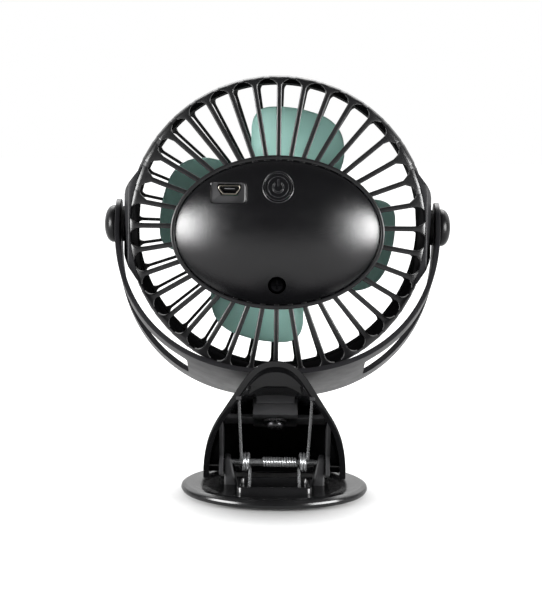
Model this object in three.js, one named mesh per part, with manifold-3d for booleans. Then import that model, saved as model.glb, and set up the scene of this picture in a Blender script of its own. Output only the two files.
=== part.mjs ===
// A small battery clip fan: a spring clip for a stand, a leaning U yoke that swivels on it,
// and a round head with a ribbed basket, a thin front grille and a four-bladed impeller.
// +Z is up, the head blows towards +Y, and the origin is the middle of the base on the table.
import * as THREE from "three";
import { mergeVertices } from "three/addons/utils/BufferGeometryUtils.js";
import Module from "manifold-3d";

const wasm = await Module();
wasm.setup();

// ---------------------------------------------------------------- driving dimensions, mm and degrees
const GAP = 0.3; // between pieces that rest on each other

const HEAD_Y = 19.5; // tilt axis, forward of the middle of the base
const HEAD_Z = 91; // tilt axis above the table
const HEAD_PITCH = 2.1; // the head looks this far below level
const YOKE_LEAN = 22.3; // the yoke leans this far forward

const SKIRT_R = 51.9; // outside of the basket's skirt
const SKIRT_WALL = 1.1;
const SHOULDER_Y = -12.4; // where the rear shoulder meets the skirt
const REAR_Y = -15.9; // rear face of the ribs at the shoulder
const RIB_COUNT = 36;
const REAR_RIB = 1.7; // width of the rear ribs
const RIB_DEPTH = 2.3;
const RIB_FALL = 1.3; // the inner ends of the ribs lie this much further back
const SHOULDER_R = 48.4; // the rounded shoulder starts here
const WINDOW_IN = 21.5; // radius at which the rear windows start, under the cup
const RIM = { widest: 2.1, from: 36, full: 66, until: 78 }; // extra rim, degrees from the top
const SPLIT_Y = -11.65; // the ribbed rear face ends here and the straight walls begin
const SKIRT_FRONT_Y = 10.3;
const LIP_FRONT_Y = 13.2;
const LIP_R = 51.2;
const FRONT_R = 52.9; // outside of the front grille's bezel
const FRONT_RIB = 1.1;
const FRONT_TURN = 1.5; // the front ribs stand this many degrees round from the rear ones
const HUB_DISC_R = 14;

const CUP = { x: 36.75, z: 26.45 }; // outside half axes of the oval battery cup
const CUP_Z = -1.8; // the oval sits this much below the head's axis
const CUP_WALL = 1.4;
const CUP_REAR_Y = -17.6;
const CUP_FRONT_Y = 3.2;
const POST_R = 2.9; // screw post inside the cup
const PILOT_R = 1.4;

const COVER = { x: 35.05, z: 24.75 }; // half axes of the domed cover
const COVER_RIM_Y = -17.4;
const COVER_RISE = 9.1;
const COVER_WALL = 1.6;

const BUTTON = { x: 0, z: 13.9, r: 4.7, ring: 5.5, dish: 3.7, stem: 1.4 };
const SOCKET = { x: -16.6, z: 12.7, width: 7.3, height: 3.0, depth: 5.4, mouth: -21.3, sheet: 0.35 };
const RECESS = { left: -23.6, right: -10.4, low: 7.6, high: 14.6, floor: -21.1 };
const SCREW_Z = -19.6;
const SCREW = { head: 2.5, shank: 1.1, well: 3.1, boss: 4.3 }; // radii at the cover's screw

const EAR_X = 53.4; // flat outer face of each pivot ear
const EAR_RECESS = 0.8; // depth of the seat for the friction washer
const EAR_BEVEL = 52.9; // where the ear's outer face starts to fall away
const BORE_R = 1.8; // bores for the tilt and swivel screws
const THREAD_R = 1.5; // smooth shanks in those bores

const FAN_R = 41.9;
const BLADE = { low: -9.6, high: 23.4, twist: 6.2, camber: 1.6, thick: 1.3, corner: 7.5 };
const HUB_R = 13;
const HUB_WALL = 1.4;
const MOTOR = { r: 10, rear: 3.5, front: 10.2, bore: 1.4 };
const HUB_REAR_Y = 4.4;
const HUB_FRONT_Y = 13;

const YOKE = { x: 56.5, drop: 57.8, power: 2.28, wall: 1.7, top: 8.7, foot: 17.5 };
const SLOT = { top: -22.5, narrow: 3.6, bottom: -51, wide: 7.9 }; // long slot in each arm
const KNOB = { r: 6.5, end: 60.6, inner: 4 };
const NECK_R = 7.5;
const NECK_Z = -60.6; // lower face of the neck under the yoke
const SEAT_Z = NECK_Z - GAP;
const BOSS_Z = -69.6;

const JAW_HALF = 24.6; // half width of the upper jaw
const JAW_FLOOR = 5;
const JAW_WALL = 2;
const JAW_POWER = 2.4; // how square the arch is
const TIP = { y: -30.5, z: 50.8 }; // end of the handle
const HEEL = { y: -1, z: 5 }; // where the open rear edge reaches the base
const PAD = { half: 19, y: 11, reach: 14.5 }; // rubber pads at the front of the jaws

const BASE = { x: 32.2, y: 31.5, top: 2.6, rim: 3.75, bottom: 0.3 };
const PIN = { y: 2.5, z: 10, r: 1 };
const EAR_OUT = 17.3; // outer face of the base's hinge ears
const FOOT_R = 24.4; // edge of the hollow under the base that takes the foot pad
const POCKET = { half: 12.6, back: -18.6, front: -0.8, wall: 1.4, top: 5.4 }; // spring pocket
const COIL = { x: 10, r: 2.9, wire: 0.52, turns: 2.75, pitch: 1.08 };

const BLACK = 0x17171a;
const DARK_STEEL = 0x303033;
const RUBBER = 0x101011;
const STEEL = 0xb9bcc0;
const TEAL = 0x9cc7be;
const SLEEVE = 0x2f6f9e;
const BOARD = 0x1f5c3a;

// ---------------------------------------------------------------- solids from geometries
const degrees = (d) => (d * Math.PI) / 180;

// A closed geometry as a solid that can be joined and cut.
function solid(geometry) {
  const plain = geometry.clone();
  plain.deleteAttribute("normal");
  plain.deleteAttribute("uv");
  const merged = mergeVertices(plain, 1e-4);
  const index = merged.index.array;
  const triVerts = [];
  for (let i = 0; i < index.length; i += 3) {
    const [a, b, c] = index.slice(i, i + 3);
    if (a !== b && b !== c && c !== a) triVerts.push(a, b, c);
  }
  return new wasm.Manifold(
    new wasm.Mesh({
      numProp: 3,
      vertProperties: merged.attributes.position.array,
      triVerts: new Uint32Array(triVerts),
    }),
  );
}

function geometryOf(body) {
  const mesh = body.getMesh();
  const points = new Float32Array(mesh.numVert * 3);
  for (let i = 0; i < mesh.numVert; i++) {
    points.set(mesh.vertProperties.subarray(i * mesh.numProp, i * mesh.numProp + 3), i * 3);
  }
  return new THREE.BufferGeometry()
    .setAttribute("position", new THREE.BufferAttribute(points, 3))
    .setIndex(new THREE.BufferAttribute(mesh.triVerts, 1));
}

const join = (first, ...others) => others.reduce((sum, other) => sum.add(other), first);
const cut = (first, ...others) => others.reduce((rest, other) => rest.subtract(other), first);

// A body turned round the Y axis from [radius, y] points, in either order.
function lathe(profile, segments = 72) {
  const points = profile.map(([r, y]) => new THREE.Vector2(r, y));
  if (THREE.ShapeUtils.area(points) < 0) points.reverse();
  return new THREE.LatheGeometry(points, segments);
}

// The same about a closed profile, which returns to its first point.
const ring = (profile, segments) => lathe([...profile, profile[0]], segments);

// A shape drawn in X and Z, extruded along Y.
function prismY(shape, y0, y1, curveSegments = 6) {
  const g = new THREE.ExtrudeGeometry(shape, { depth: y1 - y0, bevelEnabled: false, curveSegments });
  return g.rotateX(Math.PI / 2).translate(0, y1, 0);
}

// A shape drawn in Y and Z, extruded along X.
function prismX(shape, x0, x1, curveSegments = 6) {
  const g = new THREE.ExtrudeGeometry(shape, { depth: x1 - x0, bevelEnabled: false, curveSegments });
  const turn = new THREE.Matrix4().makeBasis(
    new THREE.Vector3(0, 1, 0),
    new THREE.Vector3(0, 0, 1),
    new THREE.Vector3(1, 0, 0),
  );
  return g.applyMatrix4(turn).translate(x0, 0, 0);
}

// A shape drawn in X and Y, extruded along Z.
function prismZ(shape, z0, z1, curveSegments = 6) {
  const g = new THREE.ExtrudeGeometry(shape, { depth: z1 - z0, bevelEnabled: false, curveSegments });
  return g.translate(0, 0, z0);
}

const polygon = (points) => new THREE.Shape(points.map(([a, b]) => new THREE.Vector2(a, b)));
const oval = (a, b, halfA, halfB) => new THREE.Shape().absellipse(a, b, halfA, halfB, 0, 2 * Math.PI);
const disc = (a, b, r) => oval(a, b, r, r);

function roundedBox(a0, b0, a1, b1, r) {
  const s = new THREE.Shape();
  s.moveTo(a0 + r, b0).lineTo(a1 - r, b0).quadraticCurveTo(a1, b0, a1, b0 + r);
  s.lineTo(a1, b1 - r).quadraticCurveTo(a1, b1, a1 - r, b1);
  s.lineTo(a0 + r, b1).quadraticCurveTo(a0, b1, a0, b1 - r);
  return s.lineTo(a0, b0 + r).quadraticCurveTo(a0, b0, a0 + r, b0);
}

function box(x0, x1, y0, y1, z0, z1) {
  const g = new THREE.BoxGeometry(x1 - x0, y1 - y0, z1 - z0);
  return g.translate((x0 + x1) / 2, (y0 + y1) / 2, (z0 + z1) / 2);
}

// A body lofted through closed rings of equal length; each end is closed by a fan.
function loft(rings) {
  const count = rings[0].length;
  const points = rings.flat();
  const index = [];
  for (let i = 0; i < rings.length - 1; i++) {
    for (let j = 0; j < count; j++) {
      const a = i * count + j;
      const b = i * count + ((j + 1) % count);
      index.push(a, b + count, b, a, a + count, b + count);
    }
  }
  const last = (rings.length - 1) * count;
  for (let j = 1; j < count - 1; j++) {
    index.push(0, j, j + 1);
    index.push(last, last + j + 1, last + j);
  }
  return new THREE.BufferGeometry().setFromPoints(points).setIndex(index);
}

// A wire along a curve through points, with a five-sided section.
function wire(points, radius, steps) {
  const path = new THREE.CatmullRomCurve3(points);
  const section = polygon(
    [0, 1, 2, 3, 4].map((k) => [radius * Math.cos(degrees(72 * k)), radius * Math.sin(degrees(72 * k))]),
  );
  return new THREE.ExtrudeGeometry(section, { steps, extrudePath: path, bevelEnabled: false });
}

// ---------------------------------------------------------------- the scene graph
const fan = new THREE.Group();
fan.name = "clip_fan";

const head = new THREE.Group();
head.position.set(0, HEAD_Y, HEAD_Z);
head.rotation.x = degrees(-HEAD_PITCH);

const yokeFrame = new THREE.Group();
yokeFrame.position.set(0, HEAD_Y, HEAD_Z);
yokeFrame.rotation.x = degrees(-YOKE_LEAN);

const clip = new THREE.Group();
fan.add(head, yokeFrame, clip);

const finishes = {
  satin: { color: BLACK, roughness: 0.42, metalness: 0 },
  gloss: { color: BLACK, roughness: 0.15, metalness: 0 },
  rubber: { color: RUBBER, roughness: 0.8, metalness: 0 },
  steel: { color: STEEL, roughness: 0.25, metalness: 1 },
  darkSteel: { color: DARK_STEEL, roughness: 0.4, metalness: 1 },
  teal: { color: TEAL, roughness: 0.45, metalness: 0 },
  cell: { color: SLEEVE, roughness: 0.4, metalness: 0 },
  board: { color: BOARD, roughness: 0.5, metalness: 0 },
};

function place(group, name, body, finish) {
  const geometry = body instanceof THREE.BufferGeometry ? geometryOf(solid(body)) : geometryOf(body);
  geometry.computeVertexNormals();
  const mesh = new THREE.Mesh(geometry, new THREE.MeshStandardMaterial(finishes[finish]));
  mesh.name = name;
  group.add(mesh);
}

// ---------------------------------------------------------------- basket and front grille

// How far the windows stop short of the rim at an angle from the top: the rim widens towards the ears.
function rimWidening(angle) {
  const fromTop = Math.min(angle, 360 - angle);
  if (fromTop > RIM.until) return 0;
  return RIM.widest * THREE.MathUtils.smoothstep(fromTop, RIM.from, RIM.full);
}

// One window between two radial ribs, drawn in X and Z. Its outer corners are rounded.
function windowShape(middle, inner, outer, halfRib, corner, pointed) {
  const half = degrees(180 / RIB_COUNT);
  const side = (rho) => [
    rho * Math.cos(half) + halfRib * Math.sin(half),
    rho * Math.sin(half) - halfRib * Math.cos(half),
  ];
  const [r0, t0] = side(inner);
  const [r1, t1] = side(outer - corner);
  const [, tEnd] = side(outer);
  const turn = degrees(middle);
  const at = (r, t) => new THREE.Vector2(
    r * Math.sin(turn) + t * Math.cos(turn),
    r * Math.cos(turn) - t * Math.sin(turn),
  );
  const flat = pointed ? 0 : tEnd - 0.8 * corner;
  const end = pointed ? outer + 0.8 : outer;
  const points = [at(r0, -t0), at(r1, -t1)];
  const left = new THREE.QuadraticBezierCurve(at(r1, -t1), at(outer, -tEnd), at(end, -flat));
  const right = new THREE.QuadraticBezierCurve(at(end, flat), at(outer, tEnd), at(r1, t1));
  points.push(...left.getPoints(2).slice(1), ...right.getPoints(2).slice(pointed ? 1 : 0), at(r0, t0));
  return new THREE.Shape(points);
}

function cutWindows(shell, { inner, outer, rib, corner, turn, y0, y1 }) {
  let rest = shell;
  for (let k = 0; k < RIB_COUNT; k++) {
    const middle = (360 * (k + 0.5)) / RIB_COUNT;
    const pointed = Math.abs(Math.abs(middle - 180) - 90) < 6;
    const end = outer - rimWidening(middle);
    const shape = windowShape(middle + turn, inner, end, rib / 2, corner, pointed);
    rest = rest.subtract(solid(prismY(shape, y0, y1)));
  }
  return rest;
}

// Trapezoid ear that carries the tilt pivot, tapered behind so that it clears the yoke.
function pivotEar(side) {
  const rear = -15.6;
  const outline = polygon([
    [side * 47, 20.3], [side * EAR_BEVEL, 12.6], [side * EAR_X, 10.6], [side * EAR_X, -10.4],
    [side * EAR_BEVEL, -11.8], [side * 48, -19.1], [side * 46, -12], [side * 46, 16],
  ]);
  const plan = new THREE.Shape();
  plan.moveTo(side * 44, rear).lineTo(side * 51.4, rear + 0.4).lineTo(side * EAR_BEVEL, -8);
  plan.lineTo(side * EAR_X, -6).lineTo(side * EAR_X, 6).lineTo(side * EAR_BEVEL, 8);
  plan.lineTo(side * 52.4, SKIRT_FRONT_Y).lineTo(side * 44, SKIRT_FRONT_Y);
  const body = solid(prismY(outline, rear, SKIRT_FRONT_Y)).intersect(solid(prismZ(plan, -25, 25)));
  const innerR = SKIRT_R - SKIRT_WALL;
  const inside = solid(lathe([[0, rear + 2], [innerR, rear + 2], [innerR, 20], [0, 20]]));
  const [from, to] = [side * (EAR_X - EAR_RECESS), side * 60].sort((a, b) => a - b);
  const washerSeat = solid(prismX(disc(0, 0, KNOB.r), from, to));
  return cut(body, inside, washerSeat);
}

// The moulded basket: ribs, shoulder and skirt with the two ears, and the oval cup in the middle.
function basket() {
  const inner = SKIRT_R - SKIRT_WALL;
  const shoulder = new THREE.QuadraticBezierCurve(
    new THREE.Vector2(SHOULDER_R, REAR_Y),
    new THREE.Vector2(SKIRT_R, REAR_Y),
    new THREE.Vector2(SKIRT_R, SHOULDER_Y),
  ).getPoints(3).map((p) => [p.x, p.y]);
  const shell = solid(ring([
    [WINDOW_IN - 1.5, REAR_Y - RIB_FALL], ...shoulder,
    [SKIRT_R, SKIRT_FRONT_Y], [LIP_R, SKIRT_FRONT_Y], [LIP_R, LIP_FRONT_Y], [inner, LIP_FRONT_Y],
    [inner, SHOULDER_Y + 0.8], [SHOULDER_R, REAR_Y + RIB_DEPTH],
    [WINDOW_IN - 1.5, REAR_Y + RIB_DEPTH - RIB_FALL],
  ]));
  const bores = solid(prismX(disc(0, 0, BORE_R), -60, 60, 5));
  const withEars = cut(join(shell, pivotEar(1), pivotEar(-1)), bores);
  const ribbed = cutWindows(withEars, {
    inner: WINDOW_IN, outer: inner, rib: REAR_RIB, corner: 2.7, turn: 0, y0: -22, y1: SHOULDER_Y + 0.9,
  });
  const hollow = oval(0, CUP_Z, CUP.x - CUP_WALL, CUP.z - CUP_WALL);
  const cup = solid(prismY(oval(0, CUP_Z, CUP.x, CUP.z), CUP_REAR_Y, CUP_FRONT_Y, 16));
  const inside = solid(prismY(hollow, -30, CUP_FRONT_Y - CUP_WALL, 16));
  const post = solid(prismY(disc(0, SCREW_Z, POST_R), SPLIT_Y, CUP_FRONT_Y - CUP_WALL / 2, 5));
  const pilot = solid(prismY(disc(0, SCREW_Z, PILOT_R), -20, -4, 4));
  const wireHole = solid(prismY(disc(0, 0, 2.5), -5, 10, 4));
  return cut(join(cut(ribbed.add(cup), inside), post), pilot, wireHole);
}

// The basket as three simple bodies: its rear face, the skirt round it and the battery tray.
function placeBasket() {
  const whole = basket();
  const reach = SKIRT_R + 10;
  const behind = solid(box(-reach, reach, -30, SPLIT_Y - GAP / 2, -reach, reach));
  const ahead = whole.intersect(solid(box(-reach, reach, SPLIT_Y + GAP / 2, 30, -reach, reach)));
  const core = solid(prismY(oval(0, CUP_Z, CUP.x + 3, CUP.z + 3), -30, 30, 12));
  place(head, "rear_grille", whole.intersect(behind), "satin");
  place(head, "housing_ring", cut(ahead, core), "satin");
  place(head, "battery_tray", ahead.intersect(core), "satin");
}

function frontGrille() {
  const inner = SKIRT_R - SKIRT_WALL;
  const shell = solid(lathe([
    [0, 15.9], [inner, 14.4], [inner, LIP_FRONT_Y + GAP], [LIP_R + GAP, LIP_FRONT_Y + GAP],
    [LIP_R + GAP, SKIRT_FRONT_Y + GAP], [FRONT_R, SKIRT_FRONT_Y + GAP], [FRONT_R, 14.8],
    [FRONT_R - 0.7, 16.4], [FRONT_R - 2.3, 16.9], [0, 18.4],
  ]));
  return cutWindows(shell, {
    inner: HUB_DISC_R, outer: inner - 0.1, rib: FRONT_RIB, corner: 2.1, turn: FRONT_TURN, y0: 14, y1: 25,
  });
}

// ---------------------------------------------------------------- rear cover and its fittings

// Dome over the oval: a unit profile turned and stretched to the cover's two half axes.
function dome(shrink, rim) {
  const steps = 7;
  const profile = [[0, rim + 4], [1, rim + 4], [1, rim]];
  for (let k = 1; k <= steps; k++) {
    const r = Math.cos((k / steps) * (Math.PI / 2));
    profile.push([r, rim - (COVER_RISE - shrink * 0.1) * (1 - r * r) ** 0.8]);
  }
  const g = lathe(profile, 40);
  return g.scale(COVER.x - shrink, 1, COVER.z - shrink).translate(0, 0, CUP_Z);
}

// Cutter for the socket's recess: its walls lean outwards and round off towards the dome's surface.
function recessCutter() {
  const { left, right, low, high, floor } = RECESS;
  const ringAt = (y, inset) => roundedBox(left + inset, low + inset / 4, right - inset, high + 2, 1.4)
    .getPoints(3).slice(0, -1).map((p) => new THREE.Vector3(p.x, y, p.y));
  return loft([
    ringAt(-30, 0), ringAt(floor - 2.3, 0),
    ringAt(floor - 1.1, 0.6), ringAt(floor - 0.3, 1.5), ringAt(floor, 2),
  ]);
}

function rearCover() {
  const outer = solid(dome(0, COVER_RIM_Y));
  const spigotEnd = COVER_RIM_Y + 0.8;
  const inner = solid(dome(COVER_WALL, COVER_RIM_Y + COVER_WALL));
  const open = solid(box(-50, 50, spigotEnd - 0.2, spigotEnd + 5, -50, 50));
  const { left, right, low, high, floor } = RECESS;
  const pocket = solid(box(left - 1, right + 1, -25, floor + 1.4, low - 1, high + 1));
  const screwBoss = solid(prismY(disc(0, SCREW_Z, SCREW.boss), -24, -16, 6));
  const shell = join(cut(outer, inner, open), pocket.intersect(outer), screwBoss.intersect(outer));
  const mouth = box(
    SOCKET.x - SOCKET.width / 2 - 0.4, SOCKET.x + SOCKET.width / 2 + 0.4, -24, -14,
    SOCKET.z - SOCKET.height / 2 - 0.35, SOCKET.z + SOCKET.height / 2 + 0.35,
  ); // clearance round the socket
  const bezel = cut(
    solid(prismY(disc(BUTTON.x, BUTTON.z, BUTTON.ring), -30, -19, 8)),
    solid(dome(0, COVER_RIM_Y).translate(0, 0.5, 0)),
  );
  return cut(
    shell,
    solid(recessCutter()),
    solid(mouth),
    bezel,
    solid(prismY(disc(BUTTON.x, BUTTON.z, BUTTON.r + GAP), -30, -10, 8)),
    solid(prismY(disc(0, SCREW_Z, SCREW.well), -30, -18.2, 6)),
    solid(prismY(disc(0, SCREW_Z, SCREW.shank + 0.5), -30, -10, 4)),
  );
}

function powerButton() {
  const face = solid(dome(0, COVER_RIM_Y).translate(0, 0.25, 0));
  const dish = cut(
    solid(prismY(disc(BUTTON.x, BUTTON.z, BUTTON.dish), -30, -19, 7)),
    solid(dome(0, COVER_RIM_Y).translate(0, 0.65, 0)),
  );
  const cap = cut(solid(prismY(disc(BUTTON.x, BUTTON.z, BUTTON.r), -30, -20.4, 8)).intersect(face), dish);
  const stem = solid(prismY(disc(BUTTON.x, BUTTON.z, BUTTON.stem), -21, -19.5, 4));
  const keeper = solid(box(-5.8, 5.8, -20.6, -20, BUTTON.z - 1.5, BUTTON.z + 0.5));
  return join(cap, stem, keeper);
}

// Micro-USB shell: wide side up, lower corners cut away, with a tongue inside.
function socketOutline(grow) {
  const w = SOCKET.width / 2 + grow;
  const h = SOCKET.height / 2 + grow;
  const { x, z } = SOCKET;
  const chamfer = 1.3;
  return polygon([
    [x - w, z + h], [x - w, z + 0.3], [x - w + chamfer, z - h],
    [x + w - chamfer, z - h], [x + w, z + 0.3], [x + w, z + h],
  ]);
}

function usbSocket() {
  const back = SOCKET.mouth + SOCKET.depth;
  const shell = solid(prismY(socketOutline(0), SOCKET.mouth, back));
  const hollow = solid(prismY(socketOutline(-SOCKET.sheet), SOCKET.mouth - 1, back - 1));
  const { x, z, mouth } = SOCKET;
  const tongue = solid(box(x - 1.9, x + 1.9, mouth + 1, back - 0.5, z + 0.1, z + 0.7));
  return join(cut(shell, hollow), tongue);
}

function tactSwitch() {
  const body = solid(box(-3, 3, -17.8, -14.3, BUTTON.z - 2.7, BUTTON.z + 2.3));
  const plunger = solid(prismY(disc(0, BUTTON.z, 1.3), -18.6, -17, 5));
  return body.add(plunger);
}

function coverScrew() {
  const arm = 1.6;
  const headOf = solid(prismY(disc(0, SCREW_Z, SCREW.head), -20.2, -18.5, 6));
  const level = solid(box(-arm, arm, -21, -19.5, SCREW_Z - 0.3, SCREW_Z + 0.3));
  const upright = solid(box(-0.3, 0.3, -21, -19.5, SCREW_Z - arm, SCREW_Z + arm));
  const shank = solid(prismY(disc(0, SCREW_Z, SCREW.shank), -19, -6, 4));
  return cut(join(headOf, shank), level, upright);
}

// ---------------------------------------------------------------- motor and impeller
function motorCan() {
  const { r, rear, front, bore } = MOTOR;
  return ring([
    [bore, front], [r - 0.6, front], [r, front - 0.6], [r, rear],
    [6, rear], [6, rear + 1.1], [bore, rear + 1.1],
  ], 24);
}

// Rounded end of the hollow that takes the motor.
const HUB_HOLLOW = [[10.6, 10.9], [HUB_R - HUB_WALL, 9.9]];

function hub() {
  return solid(lathe([
    [0, 12.4], [1.3, 12.4], [1.3, 10.9], ...HUB_HOLLOW, [HUB_R - HUB_WALL, HUB_REAR_Y],
    [HUB_R, HUB_REAR_Y], [HUB_R, 11.6], [12.2, 12.6], [9, HUB_FRONT_Y], [0, HUB_FRONT_Y + 0.4],
  ], 32));
}

// One blade: a cambered strip that twists as it runs out, trimmed to a paddle outline.
function blade(turn) {
  const { low, high, corner } = BLADE;
  const middle = (low + high) / 2;
  const level = (HUB_REAR_Y + HUB_FRONT_Y) / 2 - 0.1;
  const steps = 8;
  const arch = (k) => {
    const t = low - 3 + ((high - low + 6) * k) / steps;
    const s = (t - middle) / (high - low);
    return [t, level + BLADE.twist * s + BLADE.camber * (0.5 - 4 * s * s)];
  };
  const strip = [];
  for (let k = 0; k <= steps; k++) strip.push([arch(k)[0], arch(k)[1] - BLADE.thick / 2]);
  for (let k = steps; k >= 0; k--) strip.push([arch(k)[0], arch(k)[1] + BLADE.thick / 2]);
  const sheet = prismZ(polygon(strip), HUB_R - 1.1, FAN_R + 2.1);
  const outline = new THREE.Shape();
  const reach = (t) => Math.sqrt(FAN_R * FAN_R - t * t);
  outline.moveTo(low + 4, 8).lineTo(low, 22).lineTo(low, reach(low) - corner);
  outline.quadraticCurveTo(low, reach(low), low + corner * 0.8, reach(low + corner * 0.8));
  for (let k = 1; k < 4; k++) {
    const t = low + corner * 0.8 + ((high - low - corner * 1.7) * k) / 4;
    outline.lineTo(t, reach(t));
  }
  outline.lineTo(high - corner * 0.9, reach(high - corner * 0.9));
  outline.quadraticCurveTo(high, reach(high), high, reach(high) - corner);
  outline.lineTo(high, 22).lineTo(high - 16, 8);
  const paddle = solid(sheet).intersect(solid(prismY(outline, -5, 25, 4)));
  return paddle.rotate([0, turn, 0]);
}

function impeller() {
  const inside = solid(lathe([[0, 10.9], ...HUB_HOLLOW, [HUB_R - HUB_WALL, 0], [0, 0]], 32));
  const blades = [0, 90, 180, 270].map((turn) => cut(blade(turn), inside));
  return join(hub(), ...blades);
}

// ---------------------------------------------------------------- yoke
const yokeHalf = (z) => YOKE.top + ((YOKE.foot - YOKE.top) * Math.max(0, -z)) / YOKE.drop;

// Half of the U's outline, from the pivot on the right round to the one on the left.
function yokeCurve(inset) {
  const points = [];
  const steps = 40;
  for (let k = 0; k <= steps; k++) {
    const a = (Math.PI * k) / steps;
    const c = Math.cos(a);
    const x = Math.sign(c) * (YOKE.x - inset) * Math.abs(c) ** (2 / YOKE.power);
    points.push([x, -(YOKE.drop - inset) * Math.sin(a) ** (2 / YOKE.power)]);
  }
  return points;
}

function yokeSideView() {
  const s = new THREE.Shape();
  s.moveTo(-yokeHalf(-YOKE.drop), -YOKE.drop - 1).lineTo(yokeHalf(-YOKE.drop), -YOKE.drop - 1);
  s.lineTo(yokeHalf(-YOKE.drop), -YOKE.drop).lineTo(YOKE.top, 0);
  s.absarc(0, 0, YOKE.top, 0, Math.PI, false);
  return s.lineTo(-yokeHalf(-YOKE.drop), -YOKE.drop);
}

function yoke() {
  const inner = YOKE.x - YOKE.wall;
  const outline = polygon([
    [YOKE.x, YOKE.top + 1], [inner, YOKE.top + 1], ...yokeCurve(YOKE.wall), [-inner, YOKE.top + 1],
    [-YOKE.x, YOKE.top + 1], ...yokeCurve(0).reverse(),
  ]);
  const strap = solid(prismY(outline, -20, 20)).intersect(solid(prismX(yokeSideView(), -60, 60, 12)));
  const slot = new THREE.Shape();
  const { top, narrow, bottom, wide } = SLOT;
  slot.moveTo(-narrow, top - 3).quadraticCurveTo(-3, top, 0, top).quadraticCurveTo(3, top, narrow, top - 3);
  slot.lineTo(wide, bottom + 1.8).quadraticCurveTo(wide + 0.3, bottom, wide - 1.3, bottom);
  slot.lineTo(1.3 - wide, bottom).quadraticCurveTo(-wide - 0.3, bottom, -wide, bottom + 1.8);
  const neck = solid(prismZ(disc(0, 0, NECK_R), NECK_Z, 0.8 - YOKE.drop, 8));
  const bore = solid(prismZ(disc(0, 0, BORE_R), NECK_Z - 1, 0.4 - YOKE.drop, 5));
  const pivots = solid(prismX(disc(0, 0, BORE_R), -70, 70, 5));
  return cut(join(strap, neck), solid(prismX(slot, -60, 60, 3)), bore, pivots);
}

// Pieces along the tilt axis, made for the right side and turned round for the left.
function tiltHardware(side) {
  const out = (geometry) => (side > 0 ? geometry : geometry.rotateZ(Math.PI));
  const along = (profile, segments) => out(lathe(profile, segments).rotateZ(-Math.PI / 2));
  const name = side > 0 ? "right" : "left";
  const face = YOKE.x + GAP;
  const seat = EAR_X - EAR_RECESS + GAP;
  const { r, end, inner } = KNOB;
  place(yokeFrame, "pivot_knob_" + name, solid(along([
    [0, end], [3.2, end - 0.2], [5.2, end - 0.8], [r - GAP, end - 1.6], [r, end - 2.2], [r, face],
    [inner, face], [inner, end - 1], [0, end - 1],
  ], 24)), "satin");
  const outer = YOKE.x - YOKE.wall - GAP;
  const hole = BORE_R + 0.1;
  place(head, "friction_washer_" + name, solid(along([
    [r - GAP, seat], [r - GAP, outer], [hole, outer], [hole, seat], [r - GAP, seat],
  ], 20)), "rubber");
  place(head, "pivot_screw_" + name, solid(along([
    [0, 51.3], [THREAD_R, 51.3], [THREAD_R, face], [3.4, face], [3.4, end - 1.4], [0, end - 1.4],
  ], 12)), "steel");
}

// ---------------------------------------------------------------- clip
// Ridge line of the upper jaw in Y and Z, from behind the handle's tip to the front lip.
const ridge = new THREE.CatmullRomCurve3([
  [-34, 53.7], [TIP.y, TIP.z], [-25, 46.1], [-20, 42.1], [-15, 39.2], [-10, 37], [-4, 34.5],
  [4, 31.1], [10, 27.7], [16, 23], [21.5, 17.5], [26, 11.6], [28.5, 7.2],
].map(([y, z]) => new THREE.Vector3(0, y, z)));

// Half width of the jaw: a little less towards the handle, and an oval nose in front of its start.
function jawHalf(y) {
  const start = 8;
  const nose = 20.8;
  if (y <= start) return JAW_HALF - 2.5 * THREE.MathUtils.smoothstep(-y, 10, 25);
  return JAW_HALF * Math.sqrt(Math.max(0.02, 1 - ((y - start) / nose) ** 2));
}

// Arched body under the ridge line, set in by a wall thickness, between two places along the ridge.
function jawBody(wall, drop, floor, from, to, stations) {
  const rings = [];
  for (let i = 0; i <= stations; i++) {
    const p = ridge.getPoint(from + ((to - from) * i) / stations);
    const half = jawHalf(p.y) - wall;
    const top = p.z - drop;
    const arch = [];
    for (let k = 0; k <= 16; k++) {
      const a = (Math.PI * k) / 16;
      const c = Math.cos(a);
      const x = Math.sign(c) * half * Math.abs(c) ** (2 / JAW_POWER);
      arch.push(new THREE.Vector3(x, p.y, floor + (top - floor) * Math.sin(a) ** (2 / JAW_POWER)));
    }
    rings.push(arch);
  }
  return loft(rings);
}

// Everything behind the slanted open edge of the handle.
function behindRim() {
  const dy = HEEL.y - TIP.y;
  const dz = HEEL.z - TIP.z;
  return prismX(polygon([
    [TIP.y - dy, TIP.z - dz], [HEEL.y + 0.3 * dy, HEEL.z + 0.3 * dz],
    [HEEL.y - 60, HEEL.z - 20], [TIP.y - 80, TIP.z + 40],
  ]), -40, 40);
}

function inYokeFrame(geometry) {
  return geometry.rotateX(degrees(-YOKE_LEAN)).translate(0, HEAD_Y, HEAD_Z);
}

function padOutline(inset) {
  const s = new THREE.Shape();
  const half = PAD.half - inset;
  const back = PAD.y + inset;
  s.moveTo(-half, back).lineTo(half, back);
  return s.absellipse(0, back, half, PAD.reach - 2 * inset, 0, Math.PI, false);
}

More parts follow.
